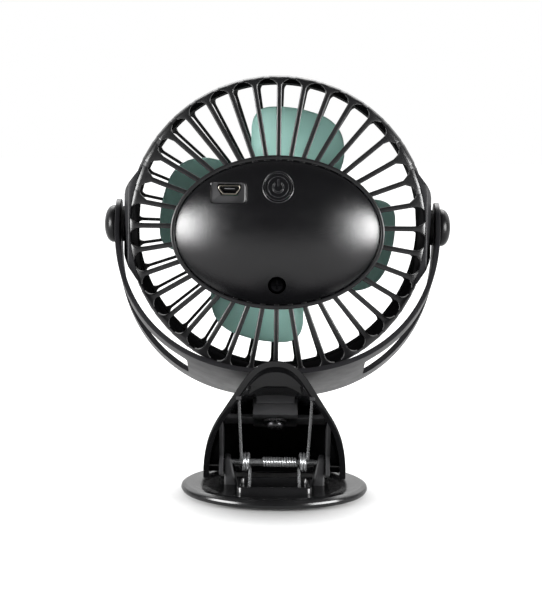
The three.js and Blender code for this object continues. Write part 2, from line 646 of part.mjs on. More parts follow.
function upperJaw() {
  const outer = solid(jawBody(0, 0, JAW_FLOOR, 0, 1, 20));
  const hollow = solid(jawBody(JAW_WALL, 2.2, JAW_FLOOR - 4, 0.172, 0.965, 14));
  const tipHollow = solid(jawBody(JAW_WALL + 0.6, 4.4, JAW_FLOOR - 4, 0, 0.18, 4));
  const frontFloor = solid(box(-30, 30, 9.6, 30, JAW_FLOOR, 7.8)).intersect(outer);
  const padRecess = solid(prismZ(padOutline(-GAP), 0, 5.9, 10));
  const seat = solid(inYokeFrame(prismZ(disc(0, 0, NECK_R + 1.1), -64, SEAT_Z, 8)));
  const bossTop = solid(inYokeFrame(box(-6.6, 6.6, -9.5, 7.5, -66, -60))).intersect(outer);
  const boss = solid(inYokeFrame(box(-7.6, 7.6, -7.3, 12, BOSS_Z, -60))).intersect(outer);
  const web = solid(inYokeFrame(box(-EAR_OUT - 0.5, EAR_OUT + 0.5, -2, 8, BOSS_Z, BOSS_Z + 1.5)));
  const tongueSlots = [-4.7, 4.7].map((x) => (
    solid(inYokeFrame(box(x - 0.5, x + 0.5, -12, -8, -70, SEAT_Z)))
  ));
  const rib = polygon([[-13, 42], [-13, 27], [-3.2, 13], [-3.2, 6.2], [7, 6.2], [9.8, 9], [9.8, 42]]);
  const ribs = [EAR_OUT + 0.4, -EAR_OUT - 1.8].map((x) => solid(prismX(rib, x, x + 1.4)).intersect(outer));
  const bore = solid(inYokeFrame(prismZ(disc(0, 0, BORE_R + 0.1), -80, -55, 5)));
  const pinHole = solid(prismX(disc(PIN.y, PIN.z, PIN.r + GAP), -22, 22, 5));
  const shell = cut(outer, hollow, tipHollow);
  const inside = cut(join(bossTop, boss, web.intersect(outer)), ...tongueSlots);
  return cut(join(shell, frontFloor, seat, inside, ...ribs), padRecess, bore, pinHole, solid(behindRim()));
}

function basePlate() {
  const flatten = BASE.y / BASE.x;
  const plate = solid(ring([
    [FOOT_R, BASE.bottom], [29.4, BASE.bottom], [31.4, 0.6], [BASE.x, 1.7], [32, 2.8], [30.9, 3.5],
    [29, BASE.rim], [26.6, 3.4], [23.5, 2.8], [20, BASE.top], [2, BASE.top], [2, 1.6], [FOOT_R, 1.6],
  ], 48).rotateX(Math.PI / 2).scale(1, flatten, 1));
  const middle = solid(prismZ(disc(0, 0, 3), 1.6, BASE.top, 5));
  const { half, back, front, wall } = POCKET;
  const outline = roundedBox(-half, back, half, front, wall + 1);
  outline.holes.push(roundedBox(wall - half, back + wall, half - wall, front - wall, wall));
  const pocket = solid(prismZ(outline, 2.2, POCKET.top, 3));
  const earSide = new THREE.Shape();
  earSide.moveTo(-1.2, 2).lineTo(7.4, 2).lineTo(5.1, 10.4);
  earSide.absarc(PIN.y, PIN.z, 2.65, 0.15, Math.PI - 0.1, false);
  const tab = solid(prismX(earSide, -20, 20, 5));
  const ears = [1, -1].map((side) => {
    const section = polygon([
      [side * EAR_OUT, 2], [side * EAR_OUT, 14], [side * 15.5, 14], [side * 15.3, 12], [side * 12.9, 2],
    ]);
    return solid(prismY(section, -3, 9)).intersect(tab);
  });
  const pinHole = solid(prismX(disc(PIN.y, PIN.z, PIN.r + GAP), -22, 22, 5));
  const padRecess = solid(prismZ(padOutline(-GAP), BASE.top, 8, 8));
  return cut(join(plate, middle, pocket, ...ears), pinHole, padRecess);
}

function jawPad(z0, z1, grooveZ0, grooveZ1) {
  const grooves = [14, 17, 20, 23].map((y) => solid(box(-25, 25, y, y + 1.2, grooveZ0, grooveZ1)));
  return cut(solid(prismZ(padOutline(0), z0, z1, 10)), ...grooves);
}

// Wire spring round the hinge pin: a leg to the pocket, a few turns, and a leg to the handle's roof.
function torsionSpring(side) {
  const { y, z } = PIN;
  const width = COIL.turns * COIL.pitch;
  const start = COIL.x - width / 2;
  const points = [
    new THREE.Vector3(side * start, y - 18, BASE.top + 1.3),
    new THREE.Vector3(side * start, y - 9, BASE.top + 2.6),
  ];
  const stepsPerTurn = 12;
  const first = degrees(235);
  for (let k = 0; k <= COIL.turns * stepsPerTurn; k++) {
    const a = first + (2 * Math.PI * k) / stepsPerTurn;
    const x = start + (COIL.pitch * k) / stepsPerTurn;
    points.push(new THREE.Vector3(side * x, y + COIL.r * Math.cos(a), z + COIL.r * Math.sin(a)));
  }
  points.push(new THREE.Vector3(side * 11.9, -9.2, 23.4));
  points.push(new THREE.Vector3(side * 12.1, -13.8, 31.8));
  return wire(points, COIL.wire, 60);
}

// Finely wound coil on the pin between the springs, as a ridged sleeve.
function spacerCoil() {
  const turns = 8;
  const from = -4.4;
  const length = 12.6;
  const profile = [[PIN.r + GAP, from], [1.5, from]];
  for (let k = 0; k < turns; k++) {
    const x = from + (length * (k + 0.5)) / turns;
    profile.push([1.75, x]);
    profile.push([1.5, x + length / turns / 2]);
  }
  profile.push([PIN.r + GAP, from + length]);
  return ring(profile, 9).rotateZ(-Math.PI / 2).translate(0, PIN.y, PIN.z);
}

// ---------------------------------------------------------------- assembly
place(clip, "base_plate", basePlate(), "gloss");
const footR = FOOT_R - GAP;
place(clip, "foot_pad", lathe([[0, 0], [footR - 0.7, 0], [footR, 0.5], [footR, 1.3], [0, 1.3]], 36)
  .rotateX(Math.PI / 2).scale(1, BASE.y / BASE.x, 1), "rubber");
place(clip, "lower_jaw_pad", jawPad(2.9, 4.3, 3.8, 5), "rubber");
place(clip, "upper_jaw", upperJaw(), "gloss");
place(clip, "upper_jaw_pad", jawPad(4.7, 5.6, 4, 5.1), "rubber");
place(clip, "hinge_pin", prismX(disc(PIN.y, PIN.z, PIN.r), -18.9, 18.9, 5), "steel");
place(clip, "torsion_spring_left", torsionSpring(-1), "steel");
place(clip, "torsion_spring_right", torsionSpring(1), "steel");
place(clip, "spacer_coil", spacerCoil(), "steel");

place(yokeFrame, "yoke", yoke(), "satin");
place(yokeFrame, "swivel_washer", cut(
  solid(prismZ(disc(0, 0, 4.2), BOSS_Z - 1.1, BOSS_Z - GAP, 6)),
  solid(prismZ(disc(0, 0, BORE_R), -75, -65, 5)),
), "steel");
place(yokeFrame, "swivel_screw", join(
  solid(prismZ(disc(0, 0, 3.1), BOSS_Z - 3.2, BOSS_Z - 1.4, 6)),
  solid(prismZ(disc(0, 0, THREAD_R), BOSS_Z - 2, -YOKE.drop, 5)),
), "steel");
tiltHardware(1);
tiltHardware(-1);

placeBasket();
place(head, "front_grille", frontGrille(), "satin");
place(head, "rear_cover", rearCover(), "satin");
place(head, "power_button", powerButton(), "satin");
place(head, "usb_socket", usbSocket(), "steel");
place(head, "circuit_board", box(-21, 9, -18.6, -7, 9.7, 10.9), "board");
place(head, "tact_switch", tactSwitch(), "satin");
place(head, "cover_screw", coverScrew(), "darkSteel");
place(head, "battery_cell", prismX(disc(-7.6, CUP_Z, 9.1), -32.5, 32.5, 10), "cell");
place(head, "motor_can", motorCan(), "steel");
place(head, "motor_shaft", prismY(disc(0, 0, 1), 5, 12.1, 5), "steel");
place(head, "impeller", impeller(), "teal");

export default fan;
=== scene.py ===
import math

import bmesh
import bpy
import numpy as np
from mathutils import Matrix, Vector


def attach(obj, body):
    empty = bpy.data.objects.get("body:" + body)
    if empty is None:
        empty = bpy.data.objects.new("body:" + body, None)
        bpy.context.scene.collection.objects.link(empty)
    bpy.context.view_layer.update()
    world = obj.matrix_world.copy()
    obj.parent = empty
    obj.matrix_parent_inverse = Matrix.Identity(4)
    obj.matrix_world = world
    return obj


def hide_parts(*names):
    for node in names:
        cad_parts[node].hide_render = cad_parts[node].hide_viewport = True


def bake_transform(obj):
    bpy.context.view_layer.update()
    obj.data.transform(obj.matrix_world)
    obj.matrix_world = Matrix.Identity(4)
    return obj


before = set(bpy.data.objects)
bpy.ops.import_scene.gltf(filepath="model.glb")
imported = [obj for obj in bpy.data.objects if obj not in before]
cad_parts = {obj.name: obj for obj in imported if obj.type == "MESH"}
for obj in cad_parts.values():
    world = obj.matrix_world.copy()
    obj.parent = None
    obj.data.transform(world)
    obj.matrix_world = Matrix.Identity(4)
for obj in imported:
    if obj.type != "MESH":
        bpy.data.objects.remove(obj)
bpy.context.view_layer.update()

MM = 0.001
WELD = 1e-7  # points closer than this become one, in metres

# -------- driving dimensions, mm and degrees
HEAD = np.array([0.0, 19.5, 91.0])  # tilt axis
HEAD_PITCH, YOKE_LEAN = 2.1, 22.3
RIBS = 36
SKIRT_R, INNER_R, FLAT_R = 51.9, 50.8, 48.4
SHOULDER_Y, REAR_Y, RIB_DEPTH, RIB_HALF = -12.4, -15.9, 2.3, 0.85
FRONT_RIB_HALF, FRONT_CORNER, FRONT_STEP = 0.55, 2.7, 1.5  # the front ribs stand a step further round
CONE_RISE, CONE_SPAN = 1.3, 28.4  # the rear face rises a little towards the hub
CUP, CUP_Z = (36.75, 26.45), -1.8
COVER, COVER_RIM, COVER_RISE, COVER_WALL = (35.05, 24.75), -17.4, 9.1, 1.6
COVER_LIP, COVER_INNER = 0.75, 0.955  # depth of the cover's edge, and share of its size within the wall
SOCKET, RECESS_Y = (-16.6, 12.7), -21.1
BUTTON_Z, BUTTON_R, BUTTON_BACK = 13.9, 4.7, -20.5
SCREW_Z, BORE_R, COUNTERBORE_R = -19.6, 1.6, 3.1
EAR_X = 53.4
FAN_R = 41.9
YOKE_X, YOKE_DROP, YOKE_POWER, YOKE_WALL = 56.5, 57.8, 2.28, 1.7
YOKE_TOP, YOKE_FOOT = 8.7, 17.5
NECK_Z, BOSS_Z = -60.6, -69.6
JAW_HALF, JAW_FLOOR, JAW_WALL, JAW_ROOF, JAW_POWER = 24.6, 5.0, 2.0, 2.2, 2.4
TIP, HEEL = np.array([-30.5, 50.8]), np.array([-1.0, 5.0])  # ends of the jaw's slanted edge, y and z
BASE_X, BASE_Y = 32.2, 31.5
PIN_Y, PIN_Z, PIN_R = 2.5, 10.0, 1.0
EAR_OUT = 17.3


# -------- frames
def tilted(points, angle):
    """Points of a leaning frame through the tilt axis, in the row's frame."""
    p = np.atleast_2d(np.asarray(points, float))
    c, s = math.cos(math.radians(angle)), math.sin(math.radians(angle))
    return np.stack([p[:, 0], p[:, 1] * c + p[:, 2] * s, p[:, 2] * c - p[:, 1] * s], 1) + HEAD


def in_head(points):
    return tilted(points, HEAD_PITCH)


def in_yoke(points):
    return tilted(points, YOKE_LEAN)


def as_is(points):
    return np.atleast_2d(np.asarray(points, float))


# -------- mesh building
class Build:
    """Gathers closed parts into one mesh."""

    def __init__(self):
        self.points = []
        self.faces = []

    def add(self, points, faces):
        first = sum(map(len, self.points))
        self.points.append(np.asarray(points, float))
        self.faces += [tuple(int(i) + first for i in f) for f in faces]
        return self

    def grid(self, rows, ring=False, caps=False, open_outline=False):
        """Skins rows of points, each a closed outline. A ring joins the last row to the first."""
        rows = [np.asarray(r, float) for r in rows]
        n, m = len(rows), len(rows[0])
        faces = []
        for i in range(n if ring else n - 1):
            a, b = i * m, ((i + 1) % n) * m
            for j in range(m - 1 if open_outline else m):
                k = (j + 1) % m
                faces.append((a + j, a + k, b + k, b + j))
        if caps:
            faces.append(tuple(range(m)))
            faces.append(tuple((n - 1) * m + j for j in reversed(range(m))))
        return self.add(np.concatenate(rows), faces)

    def mesh(self, name, frame_of=as_is, sharp=40.0):
        data = bpy.data.meshes.new(name)
        points = frame_of(np.concatenate(self.points)) * MM
        data.from_pydata(points.tolist(), [], self.faces)
        bm = bmesh.new()
        bm.from_mesh(data)
        bmesh.ops.remove_doubles(bm, verts=bm.verts, dist=WELD)
        bmesh.ops.recalc_face_normals(bm, faces=bm.faces)
        bm.to_mesh(data)
        bm.free()
        smooth(data, sharp)
        return link(name, data)


def link(name, data):
    obj = bpy.data.objects.new(name, data)
    bpy.context.collection.objects.link(obj)
    return obj


def smooth(data, sharp):
    data.polygons.foreach_set("use_smooth", [True] * len(data.polygons))
    data.set_sharp_from_angle(angle=math.radians(sharp))
    data.update()


def circle(count):
    return [2 * math.pi * k / count for k in range(count)]


def rectangle(u0, u1, v0, v1):
    return [(u0, v0), (u1, v0), (u1, v1), (u0, v1)]


def ease(t):
    """From 0 to 1 with a soft start and end."""
    t = min(1.0, max(0.0, t))
    return t * t * (3 - 2 * t)


def bend(a, b, c, t):
    """A point of the curve from a to c that leans towards b."""
    return (1 - t) ** 2 * a + 2 * t * (1 - t) * b + t * t * c


def fillet(x, corner):
    """How far a rounded corner has come in at x past its start."""
    return corner - math.sqrt(corner ** 2 - min(max(x, 0.0), corner) ** 2)


def round_corners(points, radii, steps=5, closed=True):
    """A polyline with each corner rounded; radii is one number or one for each corner."""
    pts = [np.asarray(p, float) for p in points]
    if np.isscalar(radii):
        radii = [radii] * len(pts)
    out = []
    for i, (p, r) in enumerate(zip(pts, radii)):
        if r <= 0 or (not closed and i in (0, len(pts) - 1)):
            out.append(p)
            continue
        before, after = pts[i - 1] - p, pts[(i + 1) % len(pts)] - p
        la, lb = np.linalg.norm(before), np.linalg.norm(after)
        before, after = before / la, after / lb
        half = math.acos(max(-1.0, min(1.0, float(np.dot(before, after))))) / 2
        if half > math.pi / 2 - 0.02:
            out.append(p)
            continue
        reach = min(r / math.tan(half), la * 0.49, lb * 0.49)
        out += [bend(p + before * reach, p, p + after * reach, k / steps) for k in range(steps + 1)]
    return np.array(out)


def turn(build, profile, axis="y", segments=96, stretch=(1.0, 1.0), centre=(0.0, 0.0)):
    """Turns a [radius, height] profile round an axis, and closes it there if both ends lie on it."""
    profile = np.asarray(profile, float)
    r, h = profile[:, 0], profile[:, 1]
    rows = []
    for a in circle(segments):
        u, v = r * math.cos(a) * stretch[0] + centre[0], r * math.sin(a) * stretch[1] + centre[1]
        rows.append(np.stack({"x": (h, u, v), "y": (u, h, v), "z": (u, v, h)}[axis], 1))
    return build.grid(rows, ring=True, open_outline=r[0] == 0 and r[-1] == 0)


def slab(build, outline, low, high, soft=0.3, plane="xz"):
    """A closed prism over an outline, with rounded rims. The plane names the outline's axes."""
    outline = np.asarray(outline, float)
    following = np.roll(outline, -1, 0)
    if np.sum(outline[:, 0] * following[:, 1] - following[:, 0] * outline[:, 1]) < 0:
        outline = outline[::-1]
    edge = np.roll(outline, -1, 0) - np.roll(outline, 1, 0)
    normal = np.stack([edge[:, 1], -edge[:, 0]], 1)
    normal /= np.linalg.norm(normal, axis=1)[:, None] + 1e-12
    levels = []
    for a in np.linspace(0, math.pi / 2, 4):
        levels.append((soft * (1 - math.sin(a)), low + soft * (1 - math.cos(a))))
    levels += [(inset, low + high - level) for inset, level in reversed(levels)]
    across = ("yz", "xz", "xy").index(plane)
    rows = [np.insert(outline - normal * inset, across, level, axis=1) for inset, level in levels]
    return build.grid(rows, caps=True)


def block(build, x, y, z, soft=0.3, frame_of=as_is):
    """A box between pairs of x, y and z with softened edges, in a leaning frame if given."""
    part = slab(Build(), round_corners(rectangle(*x, *z), soft, 3), *y, min(soft, 0.3))
    return build.add(frame_of(np.concatenate(part.points)), part.faces)


def tube(build, path, radius, sides=12, closed=False):
    """A round wire along points."""
    path = np.asarray(path, float)
    tangent = np.gradient(path, axis=0)
    tangent /= np.linalg.norm(tangent, axis=1)[:, None]
    normal = np.cross(tangent[0], [0.0, 0.3, 1.0])
    a = np.array(circle(sides))[:, None]
    rows = []
    for point, along in zip(path, tangent):
        normal = normal - along * np.dot(normal, along)
        normal /= np.linalg.norm(normal)
        rows.append(point + radius * (np.cos(a) * normal + np.sin(a) * np.cross(along, normal)))
    return build.grid(rows, ring=closed, caps=not closed)


def curve_point(points, u):
    """The point at u, counted in points, of the smooth curve through all of them."""
    ext = np.concatenate([[2 * points[0] - points[1]], points, [2 * points[-1] - points[-2]]])
    i = min(int(u), len(points) - 2)
    t = u - i
    a, b, c, d = ext[i:i + 4]
    square, cube = 2 * a - 5 * b + 4 * c - d, 3 * b - a - 3 * c + d
    return 0.5 * (2 * b + (c - a) * t + square * t * t + cube * t ** 3)


def spline(points, count):
    points = np.asarray(points, float)
    return np.array([curve_point(points, u) for u in np.linspace(0, len(points) - 1, count)])


def cut_with(obj, *cutters, operation="DIFFERENCE", sharp=35.0):
    """Cuts or joins closed bodies, and removes the cutters."""
    for cutter in cutters:
        modifier = obj.modifiers.new("cut", "BOOLEAN")
        modifier.operation = operation
        modifier.solver = "MANIFOLD" if operation == "INTERSECT" else "EXACT"
        modifier.object = cutter
    graph = bpy.context.evaluated_depsgraph_get()
    data = bpy.data.meshes.new_from_object(obj.evaluated_get(graph))
    obj.modifiers.clear()
    obj.data = data
    smooth(data, sharp)
    for cutter in cutters:
        bpy.data.objects.remove(cutter)
    return obj


# -------- camera
CAMERA_PLACE = Vector((-1.97, -630.5, 138.0)) * MM
CAMERA_DOWN, CAMERA_ROLL = 6.3, 0.75


def make_camera():
    data = bpy.data.cameras.new("camera")
    data.lens = 112.81
    data.sensor_width = 36.0
    data.clip_start = 0.01
    data.clip_end = 20.0
    cam = link("camera", data)
    level = Matrix.Rotation(math.radians(90 - CAMERA_DOWN), 4, "X")
    roll = Matrix.Rotation(math.radians(CAMERA_ROLL), 4, "Z")
    cam.matrix_world = Matrix.Translation(CAMERA_PLACE) @ level @ roll
    bpy.context.scene.camera = cam


make_camera()


# -------- materials
def node_tree(owner):
    owner.use_nodes = True
    return owner.node_tree


def feed(tree, node, inputs):
    """Gives a node's inputs a constant or another node's output."""
    for key, value in inputs.items():
        if isinstance(value, bpy.types.NodeSocket):
            tree.links.new(value, node.inputs[key])
        else:
            node.inputs[key].default_value = value


def put(tree, kind, inputs=None, **settings):
    """Adds a node and returns its outputs."""
    node = tree.nodes.new("ShaderNode" + kind)
    for key, value in settings.items():
        setattr(node, key, value)
    feed(tree, node, inputs or {})
    return node.outputs


def mix_colour(tree, factor, a, b):
    return put(tree, "Mix", {"Factor": factor, "A": (*a, 1), "B": (*b, 1)}, data_type="RGBA")["Result"]


def noise(tree, place, scale, detail=3.0):
    return put(tree, "TexNoise", {"Scale": scale, "Detail": detail, "Vector": place})["Fac"]


def spread(tree, value, low, high, start=0.3, end=0.7):
    """Maps a value to another range; noise lies mostly between the start and end given here."""
    inputs = {"From Min": start, "From Max": end, "To Min": low, "To Max": high, "Value": value}
    return put(tree, "MapRange", inputs)["Result"]


def combine(tree, operation, a, b):
    return put(tree, "Math", {0: a, 1: b}, operation=operation)["Value"]


def combine_vectors(tree, operation, *values):
    return put(tree, "VectorMath", dict(enumerate(values)), operation=operation)


def facing_in(tree, place):
    """1 where a face looks towards the head's axis, 0 elsewhere."""
    centred = combine_vectors(tree, "SUBTRACT", place, HEAD * MM)["Vector"]
    flat = combine_vectors(tree, "MULTIPLY", centred, (1, 0, 1))["Vector"]
    spoke = combine_vectors(tree, "NORMALIZE", flat)["Vector"]
    normal = put(tree, "TexCoord")["Normal"]
    return spread(tree, combine_vectors(tree, "DOT_PRODUCT", spoke, normal)["Value"], 1.0, 0.0, -0.85, -0.55)


DRIFT = 45.0  # scale of the broad colour drift; smudges are five times finer


def finish(name, dark, light, rough, metallic=0.0, grain=2600.0, relief=0.00002, specular=0.5,
           dull_inside=False):
    """A finish with broad colour drift, uneven roughness and a fine grain.
    With dull_inside, faces that look towards the head's axis stay matt, as the mould left them."""
    mat = bpy.data.materials.new(name)
    tree = node_tree(mat)
    place = put(tree, "TexCoord")["Object"]
    bump = {"Strength": 0.6, "Distance": relief, "Height": noise(tree, place, grain, 2.0)}
    if dull_inside:
        specular = spread(tree, facing_in(tree, place), specular, 0.0, 0, 1)
    feed(tree, tree.nodes["Principled BSDF"], {
        "Metallic": metallic,
        "Specular IOR Level": specular,
        "Base Color": mix_colour(tree, spread(tree, noise(tree, place, DRIFT), 0, 1), dark, light),
        "Roughness": spread(tree, noise(tree, place, DRIFT * 5, 5.0), *rough),
        "Normal": put(tree, "Bump", bump)["Normal"],
    })
    return mat


SATIN = finish("satin_black_plastic", (0.0036, 0.0036, 0.004), (0.0056, 0.0056, 0.006), (0.30, 0.38))
RING = finish("satin_ring_plastic", (0.0036, 0.0036, 0.004), (0.0056, 0.0056, 0.006), (0.28, 0.35),
              relief=0.000006, dull_inside=True)
GREY = finish("satin_cover_plastic", (0.0024, 0.0024, 0.0028), (0.0034, 0.0034, 0.0038), (0.20, 0.25),
              grain=3600.0, relief=0.00010)
# Lighter copy of the cover plastic for the inlet recess's floor: its matt grain is real, its lighter tone is
# painted light.
RECESS_PAINTED_LIGHT = finish("matt_recess_plastic_painted_light", (0.010, 0.010, 0.011), (0.014, 0.014, 0.015), (0.45, 0.55),
                      grain=3600.0, relief=0.00005)
# Near-black copy of the cover plastic for the counterbore's walls: painted shade in the screw's hollow.
BORE_PAINTED_SHADE = finish("bore_plastic_painted_shade", (0.0015, 0.0015, 0.0016), (0.0022, 0.0022, 0.0023), (0.6, 0.7),
              specular=0.05)
# Lighter plastic for the fine lines round the button and of the power sign: painted highlights of moulded
# edges.
EDGE_PAINTED_HIGHLIGHT = finish("edge_painted_highlight", (0.03, 0.03, 0.032), (0.045, 0.045, 0.047), (0.2, 0.3))
BASE_FINISH = finish("semi_gloss_black_plastic", (0.0040, 0.0040, 0.0043), (0.0060, 0.0060, 0.0064),
                     (0.2, 0.25), grain=900.0, relief=0.00001, specular=0.36)
YOKE_FINISH = finish("satin_yoke_plastic", (0.006, 0.006, 0.007), (0.009, 0.0088, 0.0098), (0.30, 0.38),
                     relief=0.00001, specular=0.32)
GLOSS = finish("gloss_black_plastic", (0.0034, 0.0034, 0.0037), (0.0050, 0.0050, 0.0054), (0.08, 0.12),
               grain=900.0, relief=0.00001, specular=0.4)
# Lighter copy of the black plastic for the jaw's ribs and boss and the base's hinge ears: its matt roughness
# is real, its lighter tone is painted light in their shade.
INSIDE_PAINTED_LIGHT = finish("matt_inner_plastic_painted_light", (0.016, 0.016, 0.017), (0.024, 0.024, 0.025), (0.5, 0.6), specular=0.2)
# Lighter, less glossy copy of the ring plastic for the pivot ears: their lighter tone is painted light.
EAR_PAINTED_LIGHT = finish("ear_plastic_painted_light", (0.010, 0.010, 0.011), (0.014, 0.014, 0.015), (0.36, 0.44),
                    specular=0.12)
KNOB_FINISH = finish("satin_knob_plastic", (0.004, 0.004, 0.0044), (0.006, 0.006, 0.0064), (0.26, 0.32),
                     specular=0.2)
DARK_STEEL = finish("blackened_steel", (0.006, 0.006, 0.007), (0.010, 0.010, 0.011), (0.3, 0.4),
                    metallic=1.0, grain=1200.0)
RUBBER = finish("black_rubber", (0.012, 0.012, 0.012), (0.02, 0.02, 0.02), (0.65, 0.8), grain=1800.0,
                relief=0.00008)
STEEL = finish("zinc_plated_steel", (0.28, 0.285, 0.29), (0.36, 0.365, 0.37), (0.2, 0.3), metallic=0.75,
               grain=1200.0, relief=0.000015)
SOCKET_METAL = finish("pale_plated_sheet", (0.34, 0.31, 0.26), (0.42, 0.39, 0.33), (0.3, 0.4),
                      metallic=1.0, grain=1500.0)
# Near-black copy of the zinc steel for the swivel screw and its washer: painted shade under the jaw.
STEEL_PAINTED_SHADE = finish("zinc_steel_painted_shade", (0.05, 0.05, 0.052), (0.08, 0.08, 0.082), (0.25, 0.3),
                      metallic=1.0, grain=1200.0, relief=0.000015)
TONGUE = finish("contact_tongue", (0.05, 0.05, 0.053), (0.08, 0.08, 0.083), (0.4, 0.5), grain=2000.0)
TEAL = finish("pale_teal_plastic", (0.36, 0.66, 0.58), (0.39, 0.70, 0.62), (0.36, 0.46), grain=2400.0)
CELL = finish("cell_sleeve", (0.03, 0.15, 0.33), (0.035, 0.17, 0.36), (0.3, 0.4), grain=900.0)
BOARD = finish("solder_mask", (0.013, 0.10, 0.042), (0.016, 0.12, 0.05), (0.3, 0.45), grain=900.0)


def dress(obj, material, body=None, nodes=()):
    if not any(obj.data.materials):
        obj.data.materials.clear()
        obj.data.materials.append(material)
    if body:
        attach(obj, body)
    if nodes:
        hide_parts(*nodes)
    return obj


# -------- basket
def shoulder(t):
    """Rear outer curve of the shoulder from the flat face (t 0) to the skirt (t 1), as radius and y."""
    r = FLAT_R * (1 - t) ** 2 + SKIRT_R * (2 * t * (1 - t) + t * t)
    return r, REAR_Y * (1 - t * t) + SHOULDER_Y * t * t


def shoulder_place(r):
    """The t at which the shoulder has a radius."""
    return 1 - math.sqrt(max(0.0, 1 - (max(r, FLAT_R) - FLAT_R) / (SKIRT_R - FLAT_R)))


def rear_surface(r):
    """The y of the rear face at a radius, over the flat cone and the shoulder."""
    if r <= FLAT_R:
        return REAR_Y - CONE_RISE * (FLAT_R - r) / CONE_SPAN
    return shoulder(shoulder_place(r))[1]


def inner_surface(r):
    if r <= FLAT_R:
        return rear_surface(r) + RIB_DEPTH
    deep = REAR_Y + RIB_DEPTH
    return deep + (SHOULDER_Y + 0.8 - deep) * (r - FLAT_R) / (INNER_R - FLAT_R)


def rim_widening(angle):
    """How far the rim's inner edge comes in above the pivot ears."""
    start, full, end, depth = 36, 66, 78, 2.1
    from_top = min(angle % 360, 360 - angle % 360)
    return 0.0 if from_top > end else depth * ease((from_top - start) / (full - start))


def window_of(k):
    """Outer radius and corner radius of the window after rib k, counted clockwise from the top.
    The windows at the pivot ears reach further out to a narrower arch."""
    middle = 360 * (k + 0.5) / RIBS
    pointed = abs(abs(middle - 180) - 90) < 6
    return INNER_R + (0.5 if pointed else 0.0) - rim_widening(middle), (3.8 if pointed else 2.9)


def flare(r, k):
    """How much wider a rib is at a radius, on the side of window k and near its rounded end."""
    end, corner = window_of(k % RIBS)
    return fillet(r - (end - corner), corner)


def polar(r, t, y, degrees_):
    """A point at radius r, t to the clockwise side of a spoke that stands at an angle from the top."""
    a = math.radians(degrees_)
    return r * math.sin(a) + t * math.cos(a), y, r * math.cos(a) - t * math.sin(a)


def rear_rib(build, k):
    stations = [(r, rear_surface(r), r, inner_surface(r)) for r in np.linspace(23, 46, 5)]
    for t in np.linspace(0.0, 0.86, 9):
        r, y = shoulder(t)
        ri = min(INNER_R + 0.4, 47.6 + (r - 47.6) * 0.98)
        stations.append((r, y, ri, inner_surface(min(ri, INNER_R))))
    rows = []
    for r, y, ri, yi in stations:
        limit = 0.9 * r * math.tan(math.pi / RIBS)
        left, right = (min(limit, RIB_HALF + flare(r, side)) for side in (k - 1, k))
        depth = math.hypot(r - ri, y - yi)
        section = round_corners(rectangle(-left, right, 0, depth), [0.45, 0.45, 0.25, 0.25], 3)
        rows.append([polar(r + (ri - r) * v / depth, u, y + (yi - y) * v / depth, 360 * k / RIBS)
                     for u, v in section])
    build.grid(rows, caps=True)


def basket_rim(build):
    """Shoulder and skirt as one closed ring whose inner edge follows the window ends."""
    steps = RIBS * 16
    rows = []
    for i in range(steps):
        angle = 360 * i / steps
        edge = INNER_R - rim_widening(angle)
        section = [(edge, rear_surface(edge) + 0.15)]
        section += [shoulder(t) for t in np.linspace(shoulder_place(edge) + 0.02, 1, 8)]
        section += [
            (SKIRT_R, 10.1), (51.7, 10.3), (51.2, 10.3), (51.2, 13.2), (INNER_R, 13.2),
            (INNER_R, SHOULDER_Y + 0.8), (edge, max(inner_surface(edge), rear_surface(edge) + 1.2)),
        ]
        rows.append([polar(r, 0.0, y, angle) for r, y in section])
    build.grid(rows, ring=True)


def battery_cup(build):
    """Oval cup with a rounded flange round the cover, closed towards the blades."""
    a, b = CUP
    wall = round_corners([(0, 3.2), (0, -17.6), (1.45, -17.6), (1.45, 3.2)], [0.6, 0.62, 0.45, 0.3], 5)
    build.grid([[((a - d) * math.sin(t), y, CUP_Z + (b - d) * math.cos(t)) for d, y in wall]
                for t in circle(160)], ring=True)
    front = [(0, 3.2), (1, 3.2), (1, 3.0), (1, 2.0), (0, 1.8)]
    turn(build, front, "y", 160, stretch=(a - 0.2, b - 0.2), centre=(0, CUP_Z))


def make_basket():
    build = Build()
    basket_rim(build)
    for k in range(RIBS):
        rear_rib(build, k)
    battery_cup(build)
    return build.mesh("basket_skin", in_head, 38)


dress(make_basket(), RING, "fan_head", ["rear_grille", "housing_ring", "battery_tray"])


def pivot_ear(build, side):
    """Flat pad on the skirt that carries the pivot, tapering above and below."""
    def top(x):
        return 20.3 - 7.7 * (x - 47) / 5.9

    def low(x):
        return -19.1 + 7.3 * (x - 48) / 4.9

    shelf = 52.9
    ends = [(-15.5, 51.0), (-15.3, 51.35), (-8, shelf), (-6, EAR_X),
            (6, EAR_X), (8, shelf), (10.1, 52.45), (10.3, 52.2)]
    arc = [(50.95 * math.cos(a), 50.95 * math.sin(a))
           for a in np.linspace(math.atan2(-18.95, 48.1), math.atan2(20.2, 47.1), 9)]
    rows = []
    for y, limit in ends:
        x, pad = min(shelf, limit), limit > shelf
        corners = [(47.1, top(47.1)), (x, top(x)), (limit, top(x) - (2.0 if pad else 0.3)),
                   (limit, low(x) + (1.4 if pad else 0.3)), (x, low(x)), (48.1, low(48.1))]
        corners = round_corners(corners, [0, 1.2, 1.0, 1.0, 0.8, 0], 3, closed=False)
        rows.append([(side * x, y, z) for x, z in list(corners) + arc])
    build.grid(rows, caps=True)


def make_ears():
    build = Build()
    pivot_ear(build, 1)
    pivot_ear(build, -1)
    return build.mesh("ear_skin", in_head, 38)


# The pivot ears take the lighter tone, painted light.
dress(make_ears(), EAR_PAINTED_LIGHT, "fan_head")


